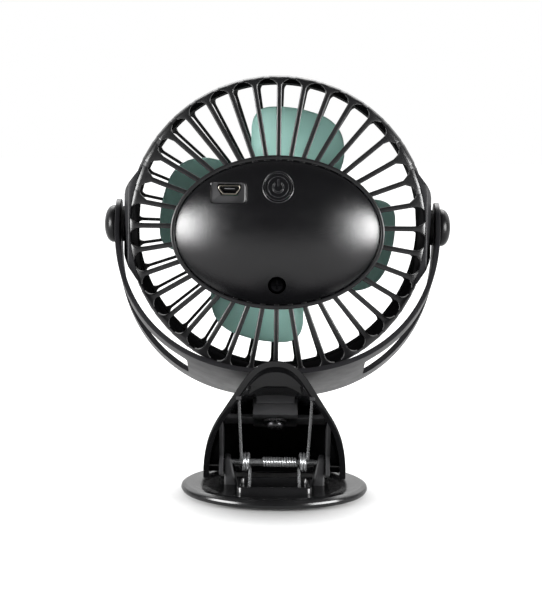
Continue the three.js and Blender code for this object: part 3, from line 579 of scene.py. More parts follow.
def make_front_grille():
    build = Build()
    bezel = round_corners([
        (INNER_R - 0.3, 14.3), (INNER_R, 13.5), (51.5, 13.5), (51.5, 10.6), (52.9, 10.6), (52.9, 14.8),
        (52.2, 16.5), (50.6, 16.88), (49.9, 16.88), (49.9, 14.4),
    ], [0.2, 0, 0, 0.2, 0.25, 1.5, 1.5, 0.8, 0.4, 0.2], 4)
    turn(build, bezel, "y", 180)
    hub = [(0, 15.9), (14.2, 15.5), (14.2, 18.0), (0, 18.4)]
    turn(build, round_corners(hub, [0, 0.3, 0.8, 0], 4, closed=False))
    for k in range(RIBS):
        rows = []
        for r in [*np.linspace(13.5, 46.5, 4), *np.linspace(47.9, 50.9, 9)]:
            wide = FRONT_RIB_HALF + fillet(r - 50.7 + FRONT_CORNER, FRONT_CORNER)
            section = rectangle(-wide, wide, 15.9 - 1.5 * r / 50.8, 18.4 - 1.5 * r / 50.6)
            section = round_corners(section, 0.3, 3)
            rows.append([polar(r, u, v, 360 * k / RIBS + FRONT_STEP) for u, v in section])
        build.grid(rows, caps=True)
    return build.mesh("front_grille_skin", in_head, 38)


dress(make_front_grille(), RING, "fan_head", ["front_grille"])


# -------- rear cover
def dome_y(x, z):
    q = max(0.0, 1 - (x / COVER[0]) ** 2 - ((z - CUP_Z) / COVER[1]) ** 2)
    return COVER_RIM - COVER_RISE * q ** 0.8


def cover_row(share, y_of):
    """One oval row of the cover at a share of its size, at the depth that y_of gives."""
    row = []
    for t in circle(168):
        x, z = COVER[0] * share * math.sin(t), CUP_Z + COVER[1] * share * math.cos(t)
        row.append((x, y_of(x, z), z))
    return row


def cover_inside(x, z):
    """The inner face of a thin shell that is thicker round the inlet and the screw."""
    wall = dome_y(x, z) + COVER_WALL
    if -24.8 < x < -9.2 and 6.2 < z < 17:
        wall = max(wall, -19.5)
    if math.hypot(x, z - SCREW_Z) < 5:
        wall = max(wall, -17.0)
    return min(wall, COVER_RIM + 0.7)


def recess_floor(x, z):
    """The y of the floor round the inlet, which follows the dome where that is low."""
    return max(RECESS_Y, dome_y(x, z) + 0.75)


def recess_row(inset, lift, shrink=1.0):
    """One row of the recess: an outline set in from its mouth, at a height above the floor."""
    outline = rectangle(-23.6 + inset, -10.4 - inset, 8.0 + 0.25 * inset, 15.6 - 0.5 * inset)
    row = []
    for point in round_corners(outline, 1.5, 6):
        x, z = SOCKET + (point - SOCKET) * shrink
        row.append((x, recess_floor(x, z) - lift, z))
    return row


def cover_cutters():
    """Cut from the cover: the recess, the inlet's mouth, the button's opening and the bore."""
    rows = [recess_row(1.1, 0.0, shrink) for shrink in (0.02, 0.2, 0.4, 0.6, 0.8, 0.94)]
    for inset, lift in [(1.1, 0.0), (1.0, 0.03), (0.75, 0.2), (0.35, 0.7), (0.1, 1.9), (-0.2, 5.9)]:
        rows.append(recess_row(inset, lift))
    yield Build().grid(rows, caps=True).mesh("recess_cut", in_head)
    yield slab(Build(), socket_outline(0.45), -25, -14, 0.02).mesh("mouth_cut", in_head)
    for name, z, r, end in [("button_cut", BUTTON_Z, 5.0, -10), ("bore_cut", SCREW_Z, BORE_R, -10),
                            ("counterbore_cut", SCREW_Z, COUNTERBORE_R, -18.2)]:
        hole = turn(Build(), rectangle(0, r, -30, end), "y", 72, centre=(0, z))
        yield hole.mesh(name, in_head)


def make_cover():
    shares = [math.cos(math.pi / 2 * k / 34) for k in range(34)] + [0.0]
    rows = [cover_row(share, dome_y) for share in reversed(shares)]
    rows += [cover_row(share, lambda x, z: COVER_RIM + COVER_LIP) for share in (1.0, COVER_INNER)]
    rows += [cover_row(COVER_INNER * share, cover_inside) for share in shares[2:]]
    cover = Build().grid(rows).mesh("cover_skin", in_head, 30)
    cut_with(cover, *cover_cutters(), sharp=28)
    for material in (GREY, RECESS_PAINTED_LIGHT, BORE_PAINTED_SHADE):
        cover.data.materials.append(material)
    c, s = math.cos(math.radians(HEAD_PITCH)), math.sin(math.radians(HEAD_PITCH))
    for face in cover.data.polygons:
        x, y, z = np.array(face.center) / MM - HEAD
        y, z = y * c - z * s, z * c + y * s
        # faces of the inlet recess's floor take the painted light
        if -24.2 < x < -9.8 and 7.3 < z < 16.2 and abs(y - recess_floor(x, z)) < 0.12:
            face.material_index = 1
        # faces of the counterbore's walls take the painted shade
        elif math.hypot(x, z - SCREW_Z) < COUNTERBORE_R + 0.05 and dome_y(x, z) + 0.12 < y:
            face.material_index = 2
    return cover


def socket_outline(grow=0.0):
    """Micro-USB outline: wide side up, lower corners cut away and every bend rounded."""
    w, h = 7.3 / 2 + grow, 3.0 / 2 + grow
    x, z = SOCKET
    corners = [(-w, h - 0.35), (0.35 - w, h), (w - 0.35, h), (w, h - 0.35),
               (w, 0.35), (w - 1.35, -h), (1.35 - w, -h), (-w, 0.35)]
    return round_corners([(x + u, z + v) for u, v in corners], [0.3] * 4 + [0.5] * 4, 3)


dress(make_cover(), GREY, "fan_head", ["rear_cover"])


def on_dome(radius, rise, t):
    """A point over the dome, at a radius and an angle from the button's axis."""
    x, z = radius * math.cos(t), BUTTON_Z + radius * math.sin(t)
    return x, dome_y(x, z) + rise, z


def make_bezel_ring():
    """Thin raised lip round the button, standing just proud of the dome."""
    lip = [(5.02, 0.5), (5.02, 0.0), (5.08, -0.06), (5.18, -0.09), (5.3, -0.06), (5.4, 0.03), (5.4, 0.5)]
    rows = [[on_dome(radius, rise, t) for radius, rise in lip] for t in circle(96)]
    return Build().grid(rows, ring=True).mesh("button_bezel", in_head, 50)


dress(make_bezel_ring(), GREY, "fan_head")


def make_button():
    """Dished cap that follows the dome, with its stem and a guide bar behind."""
    build = Build()
    profile = [(0.0, 0.62), (1.2, 0.62), (2.4, 0.60), (3.2, 0.58), (3.45, 0.55), (3.6, 0.5), (3.75, 0.46),
               (4.0, 0.44), (4.35, 0.44), (4.55, 0.46), (4.66, 0.52), (BUTTON_R, 0.8)]
    rows = [[on_dome(radius, rise, t) for t in circle(96)] for radius, rise in profile]
    for r in (BUTTON_R, 1e-6):
        rows.append([(r * math.cos(t), BUTTON_BACK, BUTTON_Z + r * math.sin(t)) for t in circle(96)])
    build.grid(rows)
    turn(build, rectangle(0, 1.4, -20.9, -19.5), "y", 24, centre=(0, BUTTON_Z))
    slab(build, rectangle(-5.8, 5.8, BUTTON_Z - 1.5, BUTTON_Z + 0.5), -20.6, -20.0, 0.05)
    return build.mesh("button_skin", in_head, 50)


dress(make_button(), GREY, "power_key", ["power_button"])


def make_power_mark():
    """The plain power sign: the outline of an open ring and of a short bar, as fine raised lines whose
    lighter plastic is a painted highlight of the sign's moulded edges.
    """
    build = Build()
    half, middle = 0.24, -0.1
    arc = np.radians(np.linspace(128, 412, 40))
    ring = [((1.75 + half) * math.cos(t), middle + (1.75 + half) * math.sin(t)) for t in arc]
    ring += [((1.75 - half) * math.cos(t), middle + (1.75 - half) * math.sin(t)) for t in arc[::-1]]
    bar = round_corners(rectangle(-half, half, 0.3, 2.5), 0.22, 4)
    for outline in (ring, bar):
        on_cap = [(x, dome_y(x, BUTTON_Z + z) + 0.58, BUTTON_Z + z) for x, z in outline]
        tube(build, on_cap, 0.05, 6, closed=True)
    return build.mesh("power_mark", in_head, 60)


dress(make_power_mark(), EDGE_PAINTED_HIGHLIGHT, "power_key")


def make_ring_line(name, radius, rise, body):
    """A fine raised line round the button, in a lighter plastic that is a painted highlight of a moulded
    edge.
    """
    line = tube(Build(), [on_dome(radius, rise, t) for t in circle(96)], 0.055, 6, closed=True)
    return dress(line.mesh(name, in_head, 60), EDGE_PAINTED_HIGHLIGHT, body)


make_ring_line("bezel_line", 5.2, -0.06, "fan_head")
make_ring_line("cap_line", 4.55, 0.46, "power_key")
make_ring_line("dish_line", 3.5, 0.53, "power_key")


def socket_rows(stations):
    return [[(x, y, z) for x, z in socket_outline(grow)] for y, grow in stations]


def make_socket():
    """Sheet metal sleeve with a rolled mouth, closed at its back."""
    rows = socket_rows([(-16.2, 0.0), (-21.0, 0.0), (-21.25, 0.02), (-21.3, -0.06), (-21.3, -0.16),
                        (-21.22, -0.24), (-20.9, -0.28), (-17.0, -0.28)])
    return Build().grid(rows, caps=True).mesh("socket_skin", in_head)


def make_shade_liner():
    """Dark sheet that lines the inlet behind its metal edge: painted shade in the inlet's depth."""
    rows = socket_rows([(-17.05, -0.3), (-20.95, -0.3), (-20.95, -0.42), (-17.3, -0.42)])
    return Build().grid(rows, caps=True).mesh("socket_painted_shade_liner", in_head)


def make_tongue():
    x, z = SOCKET
    outline = round_corners(rectangle(x - 1.75, x + 1.75, z + 0.2, z + 0.55), 0.12, 3)
    return slab(Build(), outline, -20.6, -17.1, 0.1).mesh("socket_tongue", in_head)


dress(make_socket(), SOCKET_METAL, "fan_head", ["usb_socket"])
# The sheet inside the sleeve is painted shade.
dress(make_shade_liner(), SATIN, "fan_head")
dress(make_tongue(), TONGUE, "fan_head")


def cross_cutters(long, narrow, middle, low, high, plane, frame_of):
    """The two bars of a cross recess in a screw's head."""
    for u, v in ((long, narrow), (narrow, long)):
        bar = slab(Build(), rectangle(-u, u, middle - v, middle + v), low, high, 0.01, plane)
        yield bar.mesh("cross_cut", frame_of)


def make_cover_screw():
    profile = round_corners([(0, -20.25), (2.5, -20.0), (2.5, -18.5), (1.1, -18.5), (1.1, -6), (0, -6)],
                            [0, 0.5, 0.1, 0.1, 0.2, 0], 4, closed=False)
    screw = turn(Build(), profile, "y", 48, centre=(0, SCREW_Z)).mesh("cover_screw_skin", in_head)
    return cut_with(screw, *cross_cutters(1.6, 0.32, SCREW_Z, -22, -19.3, "xz", in_head))


dress(make_cover_screw(), DARK_STEEL, "fan_head", ["cover_screw"])


# -------- impeller
BLADE_SPAN = (-9.6, 23.4)  # to both sides of the blade's spoke
BLADE_CORNER = 7.5
BLADE_HALF = 0.65


def blade_level(t):
    """The y of a blade across its spoke: pitched, and bowed in the middle."""
    low, high = BLADE_SPAN
    s = (t - (low + high) / 2) / (high - low)
    return 7.8 + 6.2 * s + 1.6 * (1 - 4 * s * s)


def blade_outline():
    """Paddle outline, as the distance across and along the spoke."""
    low, high = BLADE_SPAN

    def rim(t):
        return np.array([t, math.sqrt(FAN_R ** 2 - t * t)])

    def corner(start, side, end):
        return [bend(start, rim(side), end, k / 7) for k in range(8)]

    drop = np.array([0, BLADE_CORNER])
    outer = [(-7.5, 9.2), (-9.2, 14.5), (-9.6, 22.0)]
    outer += corner(rim(low) - drop, low, rim(low + 6))
    outer += [rim(t) for t in np.linspace(low + 7, high - 7.6, 10)]
    outer += corner(rim(high - 6.75), high, rim(high) - drop)
    outer += [(high, 24.0), (21.6, 18.5), (16, 12.5), (9, 9.0)]
    return spline(outer + [outer[0]], 120)[:-1]


def blade(build, angle):
    outline, centre = blade_outline(), np.array([6.0, 22.0])
    face = [(share, BLADE_HALF) for share in (0.0, 0.25, 0.5, 0.72, 0.88, 0.97)]
    face += [(0.992, 0.5), (1.0, 0.2)]
    rows = []
    for share, lift in face + [(share, -lift) for share, lift in reversed(face)]:
        t, r = (centre + (outline - centre) * share).T
        x, z = polar(r, t, 0.0, angle)[::2]
        rows.append(np.stack([x, [blade_level(u) + lift for u in t], z], 1))
    build.grid(rows)


def make_impeller():
    build = Build()
    for angle in (0, 90, 180, 270):
        blade(build, angle)
    profile = round_corners([
        (0, 12.4), (1.3, 12.4), (1.3, 10.9), (10.6, 10.9), (11.6, 9.9), (11.6, 4.4), (13, 4.4), (13, 11.6),
        (12.2, 12.7), (9, 13.05), (0, 13.4),
    ], [0, 0, 0, 0.3, 0.5, 0.2, 0.2, 0.6, 0.8, 1, 0], 3, closed=False)
    turn(build, profile)
    return build.mesh("impeller_skin", in_head, 45)


dress(make_impeller(), TEAL, "fan_rotor", ["impeller"])


# -------- yoke
def yoke_half(z):
    return YOKE_TOP + (YOKE_FOOT - YOKE_TOP) * max(0.0, -z) / YOKE_DROP


def yoke_point(a, inset):
    """A point of the strap's curve, as x and z, set in from its outer face."""
    c = math.cos(a)
    x = math.copysign((YOKE_X - inset) * abs(c) ** (2 / YOKE_POWER), c)
    return x, -(YOKE_DROP - inset) * abs(math.sin(a)) ** (2 / YOKE_POWER)


def strap_section(outer, inner, half):
    """Rounded cross-section of the strap between an outer and an inner point."""
    wall = math.dist(outer, inner)
    row = []
    for y, depth in round_corners(rectangle(-half, half, 0, wall), 0.35, 3):
        x, z = (o + (i - o) * depth / wall for o, i in zip(outer, inner))
        row.append((x, y, z))
    return row


def strap_end(side):
    """Half-round end of the strap above the tilt axis, from its tip down."""
    rows = []
    for b in np.linspace(0, math.pi / 2, 14, endpoint=False):
        z, half = YOKE_TOP * math.cos(b), max(0.35, YOKE_TOP * math.sin(b))
        rows.append(strap_section((side * YOKE_X, z), (side * (YOKE_X - YOKE_WALL), z), half))
    return rows


def make_yoke():
    """U strap with half-round ends and a long slot through both arms."""
    rows = strap_end(1)
    for k in range(151):
        a = math.pi * (0.5 - 0.5 * math.cos(math.pi * k / 150))
        outer = yoke_point(a, 0)
        rows.append(strap_section(outer, yoke_point(a, YOKE_WALL), yoke_half(outer[1])))
    rows += reversed(strap_end(-1))
    strap = Build().grid(rows, caps=True).mesh("yoke_skin", in_yoke, 32)
    slot = [(-4.4, -22.0), (4.4, -22.0), (9.3, -51.2), (-9.3, -51.2)]
    slot = slab(Build(), round_corners(slot, [4.1, 4.1, 1.8, 1.8], 8), -70, 70, 0.01, "yz")
    cut_with(strap, slot.mesh("slot_cut", in_yoke), sharp=32)
    bevel = strap.modifiers.new("soft_edges", "BEVEL")
    bevel.width = 0.25 * MM
    bevel.segments = 3
    bevel.limit_method = "ANGLE"
    bevel.angle_limit = math.radians(50)
    bevel.harden_normals = True
    return strap


def make_neck():
    """Round neck below the strap, which turns on the jaw's seat."""
    profile = round_corners(rectangle(1.8, 7.5, NECK_Z, -57.0), [0.1, 0.5, 0.1, 0.1], 4)
    return turn(Build(), profile, "z", 72).mesh("yoke_neck", in_yoke)


dress(make_yoke(), YOKE_FINISH, "yoke_arm", ["yoke"])
dress(make_neck(), YOKE_FINISH, "yoke_arm")


def make_knob(name, side):
    """Domed cap over the pivot, hollow behind."""
    face = YOKE_X + 0.3
    crown = [(0.0, 60.6), (1.6, 60.55), (3.0, 60.35), (4.2, 60.0), (5.2, 59.5), (5.9, 58.9), (6.3, 58.3),
             (6.5, 57.7)]
    back = [(6.5, face + 0.25), (6.3, face), (4, face), (4, 59.3), (0, 59.3)]
    profile = [(r, side * x) for r, x in [*spline(crown, 22), *back]]
    knob = turn(Build(), profile, "x", 72).mesh("knob_%s_skin" % name, in_yoke)
    dress(knob, KNOB_FINISH, "yoke_arm", ["pivot_knob_" + name])


make_knob("right", 1)
make_knob("left", -1)


# -------- clip
RIDGE = np.array([
    (-34, 53.7), (-30.5, 50.8), (-25, 46.1), (-20, 42.1), (-15, 39.2), (-10, 37), (-4, 34.5), (4, 31.1),
    (10, 27.7), (16, 23), (21.5, 17.5), (26, 11.6), (28.5, 7.2),
])  # top line of the jaw, y and z
RIM_NORMAL = np.array([TIP[1] - HEEL[1], HEEL[0] - TIP[0]])
RIM_NORMAL /= np.linalg.norm(RIM_NORMAL)
RIM_SHIFT = 0.3  # the skins stop this far ahead of the cut; the rounded edge fills the rest
GABLE_Z, GABLE_SUNK, GABLE_THICK = 40.6, 1.0, 1.5  # flat plate that closes the tip, down to a straight lip
JAW_END = (8.0, 20.8)  # middle and length of the rounded front


def jaw_half(y):
    if y <= JAW_END[0]:
        return JAW_HALF - 2.5 * ease((-y - 10) / 15)
    return JAW_HALF * math.sqrt(max(0.02, 1 - ((y - JAW_END[0]) / JAW_END[1]) ** 2))


def jaw_surface(t, a, wall=0.0, drop=0.0, floor=JAW_FLOOR):
    """A point of the arch at a share t of its length and an angle a across it."""
    y, z = curve_point(RIDGE, t * (len(RIDGE) - 1))
    c = math.cos(a)
    x = math.copysign((jaw_half(y) - wall) * abs(c) ** (2 / JAW_POWER), c)
    return np.array([x, y, floor + (z - drop - floor) * abs(math.sin(a)) ** (2 / JAW_POWER)])


def jaw_row(t, wall, drop, floor=JAW_FLOOR):
    return [jaw_surface(t, math.pi * k / 48, wall, drop, floor) for k in range(49)]


def rim_parameter(a, wall, drop, shift):
    """The t at which the arch crosses a plane that lies a shift ahead of the slanted edge."""
    low, high = 0.0, 0.6
    for _ in range(30):
        middle = (low + high) / 2
        ahead = np.dot(jaw_surface(middle, a, wall, drop)[1:] - TIP, RIM_NORMAL)
        if ahead < shift:
            low = middle
        else:
            high = middle
    return (low + high) / 2


def on_gable(x, z, sunk):
    """A point of the gable plate's plane, which lies behind the slanted edge."""
    y = TIP[0] + (TIP[1] - z) * (HEEL[0] - TIP[0]) / (TIP[1] - HEEL[1])
    return np.array([x, y + sunk * RIM_NORMAL[0] + sunk * RIM_NORMAL[1] ** 2 / RIM_NORMAL[0], z])


def inner_row(a, long):
    """The inner skin from the open edge on: the gable plate and its lip, then the deep hollow."""
    tip_height = jaw_surface(rim_parameter(a, JAW_WALL, JAW_ROOF, GABLE_SUNK), a, JAW_WALL, JAW_ROOF)[2]
    thin = min(1.0, max(0.0, (tip_height - GABLE_Z + 6) / 9))
    wall, drop = JAW_WALL - 0.6 * thin, JAW_ROOF - 1.15 * thin
    begin = rim_parameter(a, wall, drop, RIM_SHIFT)
    edge = jaw_surface(begin, a, wall, drop)
    sunk = jaw_surface(rim_parameter(a, wall, drop, GABLE_SUNK), a, wall, drop)
    if sunk[2] > GABLE_Z:
        row = [edge, (2 * edge + sunk) / 3, sunk]
        row += [on_gable(sunk[0], sunk[2] + (GABLE_Z - sunk[2]) * k / 7, GABLE_SUNK) for k in range(1, 8)]
        foot = on_gable(sunk[0], GABLE_Z, GABLE_SUNK + GABLE_THICK)
        begin = rim_parameter(a, JAW_WALL, JAW_ROOF, GABLE_SUNK + GABLE_THICK)
        roof = jaw_surface(begin, a, JAW_WALL, JAW_ROOF)
        roof[2] = max(roof[2], foot[2] + 0.01)
        row += [foot, (foot + roof) / 2]
    else:
        row = [edge] * 12
    return row + [jaw_surface(t, a, JAW_WALL, JAW_ROOF) for t in np.linspace(begin, 0.955, long + 1)]


def make_jaw_shell():
    """Outer skin, rounded open edge and inner skin as one closed body."""
    long = 56
    back = np.array([0.0, *-RIM_NORMAL])
    rows = []
    for a in np.linspace(0, math.pi, 97):
        outer = [jaw_surface(t, a) for t in np.linspace(0.995, rim_parameter(a, 0, 0, RIM_SHIFT), long + 1)]
        inner = inner_row(a, long)
        edge, across = outer[-1], inner[0] - outer[-1]
        bulge = []
        for b in np.linspace(0, math.pi, 9)[1:-1]:
            lift = RIM_SHIFT * min(1.0, 1.8 * math.sin(b))
            bulge.append(edge + across * (0.5 - 0.5 * math.cos(b)) + back * lift)
        rows.append(outer + bulge + inner)
    return Build().grid(rows, caps=True).mesh("jaw_shell")


def trimmed(build, name):
    """A body of the jaw's inside, cut off where it would pass through the arch."""
    rows = [jaw_row(t, 0.7, 0.8, JAW_FLOOR - 3) for t in np.linspace(0.02, 0.985, 40)]
    room = Build().grid(rows, caps=True).mesh("jaw_room")
    return cut_with(build.mesh(name), room, operation="INTERSECT")


def make_jaw_ribs():
    """Side ribs that turn on the pin, the seats of the spring legs, and the web between the ribs."""
    build = Build()
    side_rib = round_corners(
        [(-12.9, 42.0), (-12.9, 27.0), (-3.2, 13.0), (-3.2, 6.2), (7, 6.2), (9.8, 9), (9.8, 42.0)],
        [0, 0.6, 0.6, 0.5, 0.5, 0.5, 0], 3)
    for side in (1, -1):
        x = side * (EAR_OUT + 1.1)
        slab(build, side_rib, x - 0.7, x + 0.7, 0.25, "yz")
        block(build, sorted((side * 11.4, side * 13.2)), (-21.5, -17.6), (35.6, 42.0))
    block(build, (-EAR_OUT - 0.5, EAR_OUT + 0.5), (-2, 8), (BOSS_Z, BOSS_Z + 1.5), frame_of=in_yoke)
    return trimmed(build, "jaw_ribs")


def make_jaw_floor():
    """Floor at the front of the arch, with the shallow recess that takes the rubber pad."""
    floor = trimmed(block(Build(), (-30, 30), (9.6, 30), (JAW_FLOOR, 7.8)), "jaw_floor")
    half, back, reach = 19.3, 10.7, 15.1
    arc = [(half * math.cos(t), back + reach * math.sin(t)) for t in np.linspace(0, math.pi, 60)]
    pad = slab(Build(), [(-half, back), *arc], 0, 5.9, 0.05, "xy")
    return cut_with(floor, pad.mesh("pad_recess"))


def make_jaw_nose():
    """Solid front end of the arch, and the low lip that closes the gap over the lower jaw's rim."""
    build = Build()
    build.grid([jaw_row(t, 0.04, 0.04) for t in np.linspace(0.945, 0.993, 8)], caps=True)
    lip = [(0.3, 5.3), (0.2, 4.4), (0.4, 4.1), (1.3, 4.1), (1.5, 4.4), (1.5, 5.3)]
    rows = []
    for b in np.linspace(-1, 1, 97) * math.pi / 2 * 0.97:
        s, c = math.sin(b), math.cos(b)
        rows.append([((JAW_HALF - inset) * s, JAW_END[0] + (20.2 - inset) * c, z) for inset, z in lip])
    build.grid(rows, caps=True)
    return build.mesh("jaw_nose")


def make_jaw_boss():
    """Swivel boss under the arch: a slotted tongue on top and a wider block that takes the screw."""
    tongue = block(Build(), (-6.6, 6.6), (-9.2, 7.4), (-66, -60), frame_of=in_yoke)
    boss = trimmed(tongue, "jaw_boss")
    wide = block(Build(), (-7.6, 7.6), (-7.3, 12), (BOSS_Z, -63.8), 0.4, in_yoke)
    cut_with(boss, wide.mesh("boss_block"), operation="UNION")
    cutters = []
    for x in (-4.7, 4.7):
        slot = block(Build(), (x - 0.5, x + 0.5), (-12, -8.0), (-70.5, -60.9), 0.2, in_yoke)
        cutters.append(slot.mesh("boss_slot"))
    bore = turn(Build(), rectangle(0, 1.9, -80, -56), "z", 48)
    cutters.append(bore.mesh("boss_bore", in_yoke))
    return cut_with(boss, *cutters)


def make_seat():
    """Round seat on top of the jaw, under the yoke's neck."""
    profile = round_corners(rectangle(2.2, 8.6, -64, NECK_Z - 0.3), [0, 0, 0.4, 0.1], 4)
    return turn(Build(), profile, "z", 72).mesh("swivel_seat", in_yoke)


dress(make_jaw_shell(), GLOSS, "clip_jaw", ["upper_jaw"])
# The ribs and the boss inside the jaw take the lighter tone, painted light.
for make, finish_of in [(make_jaw_ribs, INSIDE_PAINTED_LIGHT), (make_jaw_boss, INSIDE_PAINTED_LIGHT), (make_jaw_floor, GLOSS),
                        (make_jaw_nose, GLOSS), (make_seat, GLOSS)]:
    dress(make(), finish_of, "clip_jaw")


def round_pin(radius, angle, x):
    """A point round the hinge pin."""
    return x, PIN_Y + radius * math.cos(angle), PIN_Z + radius * math.sin(angle)


def make_base():
    """Oval plate with a rounded rim, and the raised wall of the spring pocket."""
    build = Build()
    profile = round_corners([
        (24.4, 0.3), (29.6, 0.3), (31.5, 0.7), (BASE_X, 1.8), (31.9, 2.9), (30.6, 3.65), (28.8, 3.75),
        (26.4, 3.4), (23.5, 2.75), (20.5, 2.55), (0.0, 2.55),
    ], [0, 0.6, 1.0, 0.8, 0.8, 1.0, 1.2, 1.5, 2, 2, 0], 5, closed=False)
    turn(build, [*profile, (0.0, 1.65), (24.3, 1.65)], "z", 180, stretch=(1.0, BASE_Y / BASE_X))
    outside = round_corners(rectangle(-12.6, 12.6, -18.6, -0.8), 2.4, 8)
    inside = round_corners(rectangle(-11.2, 11.2, -17.2, -2.2), 1.4, 8)
    wall = [(0, 2.3), (0, 5.1), (0.08, 5.3), (0.25, 5.4), (0.75, 5.4), (0.92, 5.3), (1, 5.1), (1, 2.3)]
    rows = [np.insert(outside + (inside - outside) * share, 2, z, axis=1) for share, z in wall]
    build.grid(rows, ring=True)
    return build.mesh("base_skin")


def make_hinge_ears():
    """Two upright ears that hold the pin, wider at the foot."""
    build = Build()
    middle = np.array([2.8, 7.0])
    head = [round_pin(2.65, a, 0)[1:] for a in np.linspace(0.15, math.pi - 0.1, 10)]
    shape = round_corners([(-1.2, 2.3), (7.4, 2.3), (5.3, 10.4), *head], 0.2, 1)
    for side in (1, -1):
        rows = []
        for share, inset in [(0.0, 0.3), (0.09, 0.08), (0.2, 0.0), (0.8, 0.0), (0.91, 0.08), (1.0, 0.3)]:
            row = []
            for y, z in shape:
                inner = 12.9 + 2.4 * min(1.0, max(0.0, (z - 2) / 10))
                x = side * (inner + (EAR_OUT - inner) * share)
                y, raised = middle + (np.array([y, z]) - middle) * (1 - inset / 4)
                row.append((x, y, raised if z > 3 else z))
            rows.append(row)
        build.grid(rows, caps=True)
    return build.mesh("hinge_ears")


dress(make_base(), BASE_FINISH, "clip_base", ["base_plate"])
# The hinge ears take the lighter tone, painted light in the jaw's shade.
dress(make_hinge_ears(), INSIDE_PAINTED_LIGHT, "clip_base")


def make_pin():
    profile = round_corners(rectangle(0, PIN_R, -18.9, 18.9), [0, 0.25, 0.25, 0], 3, closed=False)
    return turn(Build(), profile, "x", 32, centre=(PIN_Y, PIN_Z)).mesh("pin_skin")


def make_spacer():
    """Finely wound wire on the pin between the springs."""
    turns, start, length = 13, -4.05, 11.9
    steps = turns * 20
    wire = [round_pin(1.42, 2 * math.pi * k / 20, start + length * k / steps) for k in range(steps + 1)]
    return tube(Build(), wire, 0.36, 8).mesh("spacer_skin", as_is, 60)


def make_spring(name, side):
    """Wire torsion spring: a leg in the pocket, a few turns on the pin and a leg up under the roof."""
    coil_r, turns, pitch = 2.9, 2.75, 1.08
    start = 10 - turns * pitch / 2
    points = [(side * start, PIN_Y - 18, 3.9), (side * start, PIN_Y - 9, 5.2)]
    for k in range(int(turns * 24) + 1):
        angle = math.radians(235) + 2 * math.pi * k / 24
        points.append(round_pin(coil_r, angle, side * (start + pitch * k / 24)))
    points += [(side * 11.8, -8.6, 22.4), (side * 12.1, -14.2, 30.0), (side * 12.3, -19.4, 36.6)]
    spring = tube(Build(), spline(points, 420), 0.52).mesh("spring_%s_skin" % name, as_is, 60)
    dress(spring, STEEL)
    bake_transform(spring)
    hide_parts("torsion_spring_" + name)


dress(make_pin(), STEEL, "clip_base", ["hinge_pin"])
make_spring("left", -1)
make_spring("right", 1)
dress(make_spacer(), STEEL, "clip_base", ["spacer_coil"])


def make_swivel_screw():
    """Pan head screw under the boss, with a cross recess."""
    head = [(0, -3.2), (2.6, -3.0), (3.1, -2.2), (3.1, -1.4), (1.5, -1.4)]
    profile = [(r, BOSS_Z + z) for r, z in head] + [(1.5, -58), (0, -58)]
    profile = round_corners(profile, [0, 0.5, 0.4, 0.1, 0, 0, 0], 4, closed=False)
    screw = turn(Build(), profile, "z", 48).mesh("swivel_screw_skin", in_yoke)
    return cut_with(screw, *cross_cutters(1.8, 0.35, 0.0, BOSS_Z - 5, BOSS_Z - 2.2, "xy", in_yoke))


# The swivel screw takes the darkened steel, painted shade.
dress(make_swivel_screw(), STEEL_PAINTED_SHADE, "yoke_arm", ["swivel_screw"])


# -------- carried-over nodes
CARRIED = {
    RUBBER: ["foot_pad", "lower_jaw_pad", "upper_jaw_pad", "friction_washer_left", "friction_washer_right"],
    STEEL: ["pivot_screw_left", "pivot_screw_right", "motor_can", "motor_shaft"],
    STEEL_PAINTED_SHADE: ["swivel_washer"],
    BOARD: ["circuit_board"],
    SATIN: ["tact_switch"],
    CELL: ["battery_cell"],
}
for material, names in CARRIED.items():
    for name in names:
        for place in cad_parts[name].material_slots:
            place.material = material


# -------- stage and light
FLOOR_FAR_GLOSS, FLOOR_NEAR_GLOSS = 0.05, 0.15
HIGH_SKY = 2.6  # what glossy faces see above and behind the fan
DOME = 0.6  # even light from all round, for the soft contact shadow
WHITE = (1, 1, 1, 1)


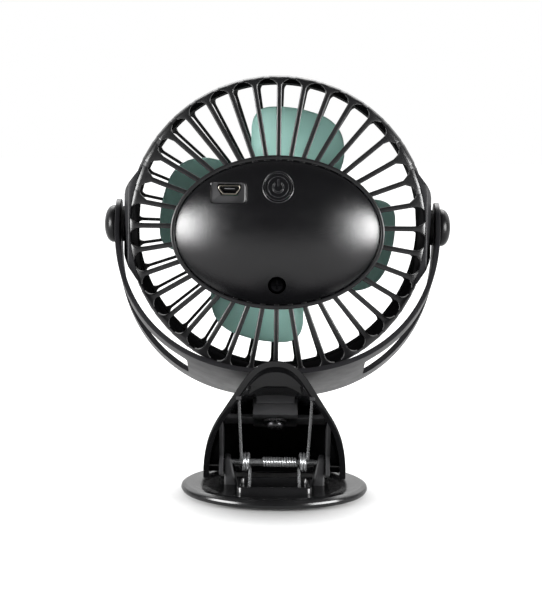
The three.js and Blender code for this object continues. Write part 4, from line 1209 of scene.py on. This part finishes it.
def make_stage():
    """Pale floor that fades to white away from the fan's foot, and stays grey in an oval round the foot: a
    painted shadow.
    """
    data = bpy.data.meshes.new("floor")
    data.from_pydata([(x, y, 0) for x, y in rectangle(-3.0, 3.0, -3.0, 3.0)], [], [(0, 1, 2, 3)])
    floor = link("floor", data)
    mat = bpy.data.materials.new("white_floor")
    tree = node_tree(mat)
    place = put(tree, "TexCoord")["Object"]
    speckle = spread(tree, noise(tree, place, 300.0), 0, 1)
    tint = mix_colour(tree, speckle, (0.33, 0.33, 0.33), (0.35, 0.35, 0.35))
    distance = combine_vectors(tree, "LENGTH", place)["Value"]
    gloss = spread(tree, distance, FLOOR_NEAR_GLOSS, FLOOR_FAR_GLOSS, 0.2, 1.4)
    # An oval round the fan's foot, longer towards the camera, gets no glow to the camera and stays grey: a
    # painted shadow laid under the real one.
    oval = combine_vectors(tree, "MULTIPLY_ADD", place, (1.35, 1, 1), (0, 0.006, 0))["Vector"]
    plain = spread(tree, combine_vectors(tree, "LENGTH", oval)["Value"], 0.0, 1.0, 0.027, 0.065)
    path = put(tree, "LightPath")
    glow = put(tree, "Mix", {"Factor": path["Is Camera Ray"], "A": gloss, "B": plain})["Result"]
    seen = combine(tree, "MAXIMUM", path["Is Camera Ray"], path["Is Glossy Ray"])
    feed(tree, tree.nodes["Principled BSDF"], {
        "Roughness": 0.9,
        "Specular IOR Level": 0.0,
        "Base Color": tint,
        "Emission Strength": combine(tree, "MULTIPLY", seen, glow),
        "Emission Color": WHITE,
    })
    data.materials.append(mat)


def make_world():
    """Plain white to the camera; glossy faces see a sky that is bright behind and above the fan."""
    world = bpy.data.worlds.new("studio")
    bpy.context.scene.world = world
    tree = node_tree(world)
    tree.nodes.clear()
    apart = put(tree, "SeparateXYZ", {"Vector": put(tree, "TexCoord")["Generated"]})
    low = spread(tree, apart["Y"], 0.04, 1.0, 0.4, 0.75)
    behind = spread(tree, apart["Y"], 0.0, HIGH_SKY, 0.0, 0.5)
    above = spread(tree, apart["Z"], 0.0, 1.0, 0.05, 0.45)
    sky = combine(tree, "MAXIMUM", low, combine(tree, "MULTIPLY", behind, above))
    path = put(tree, "LightPath")
    soft = combine(tree, "MULTIPLY", path["Is Diffuse Ray"], DOME)
    fill = put(tree, "Background", {"Strength": combine(tree, "MAXIMUM", sky, soft)})["Background"]
    seen = put(tree, "Background", {"Color": WHITE, "Strength": 1.0})["Background"]
    shown = combine(tree, "MAXIMUM", path["Is Camera Ray"], path["Is Transmission Ray"])
    mixed = put(tree, "MixShader", {"Fac": shown, 1: fill, 2: seen})["Shader"]
    put(tree, "OutputWorld", {"Surface": mixed})


def area(name, location, target, size, power):
    data = bpy.data.lights.new(name, "AREA")
    data.shape = "RECTANGLE"
    data.size, data.size_y = size
    data.energy = power
    light = link(name, data)
    light.location = location
    light.rotation_euler = (Vector(target) - Vector(location)).to_track_quat("-Z", "Y").to_euler()


make_stage()
make_world()
for lamp, x in (("side_left", -0.72), ("side_right", 0.72)):
    area(lamp, (x, -0.36, 0.115), (0, 0, 0.09), (0.52, 0.46), 22.0)
area("back_top", (0, 0.55, 0.75), (0, 0.0, 0.05), (0.9, 0.5), 6.0)
bpy.context.scene.view_settings.view_transform = "Standard"
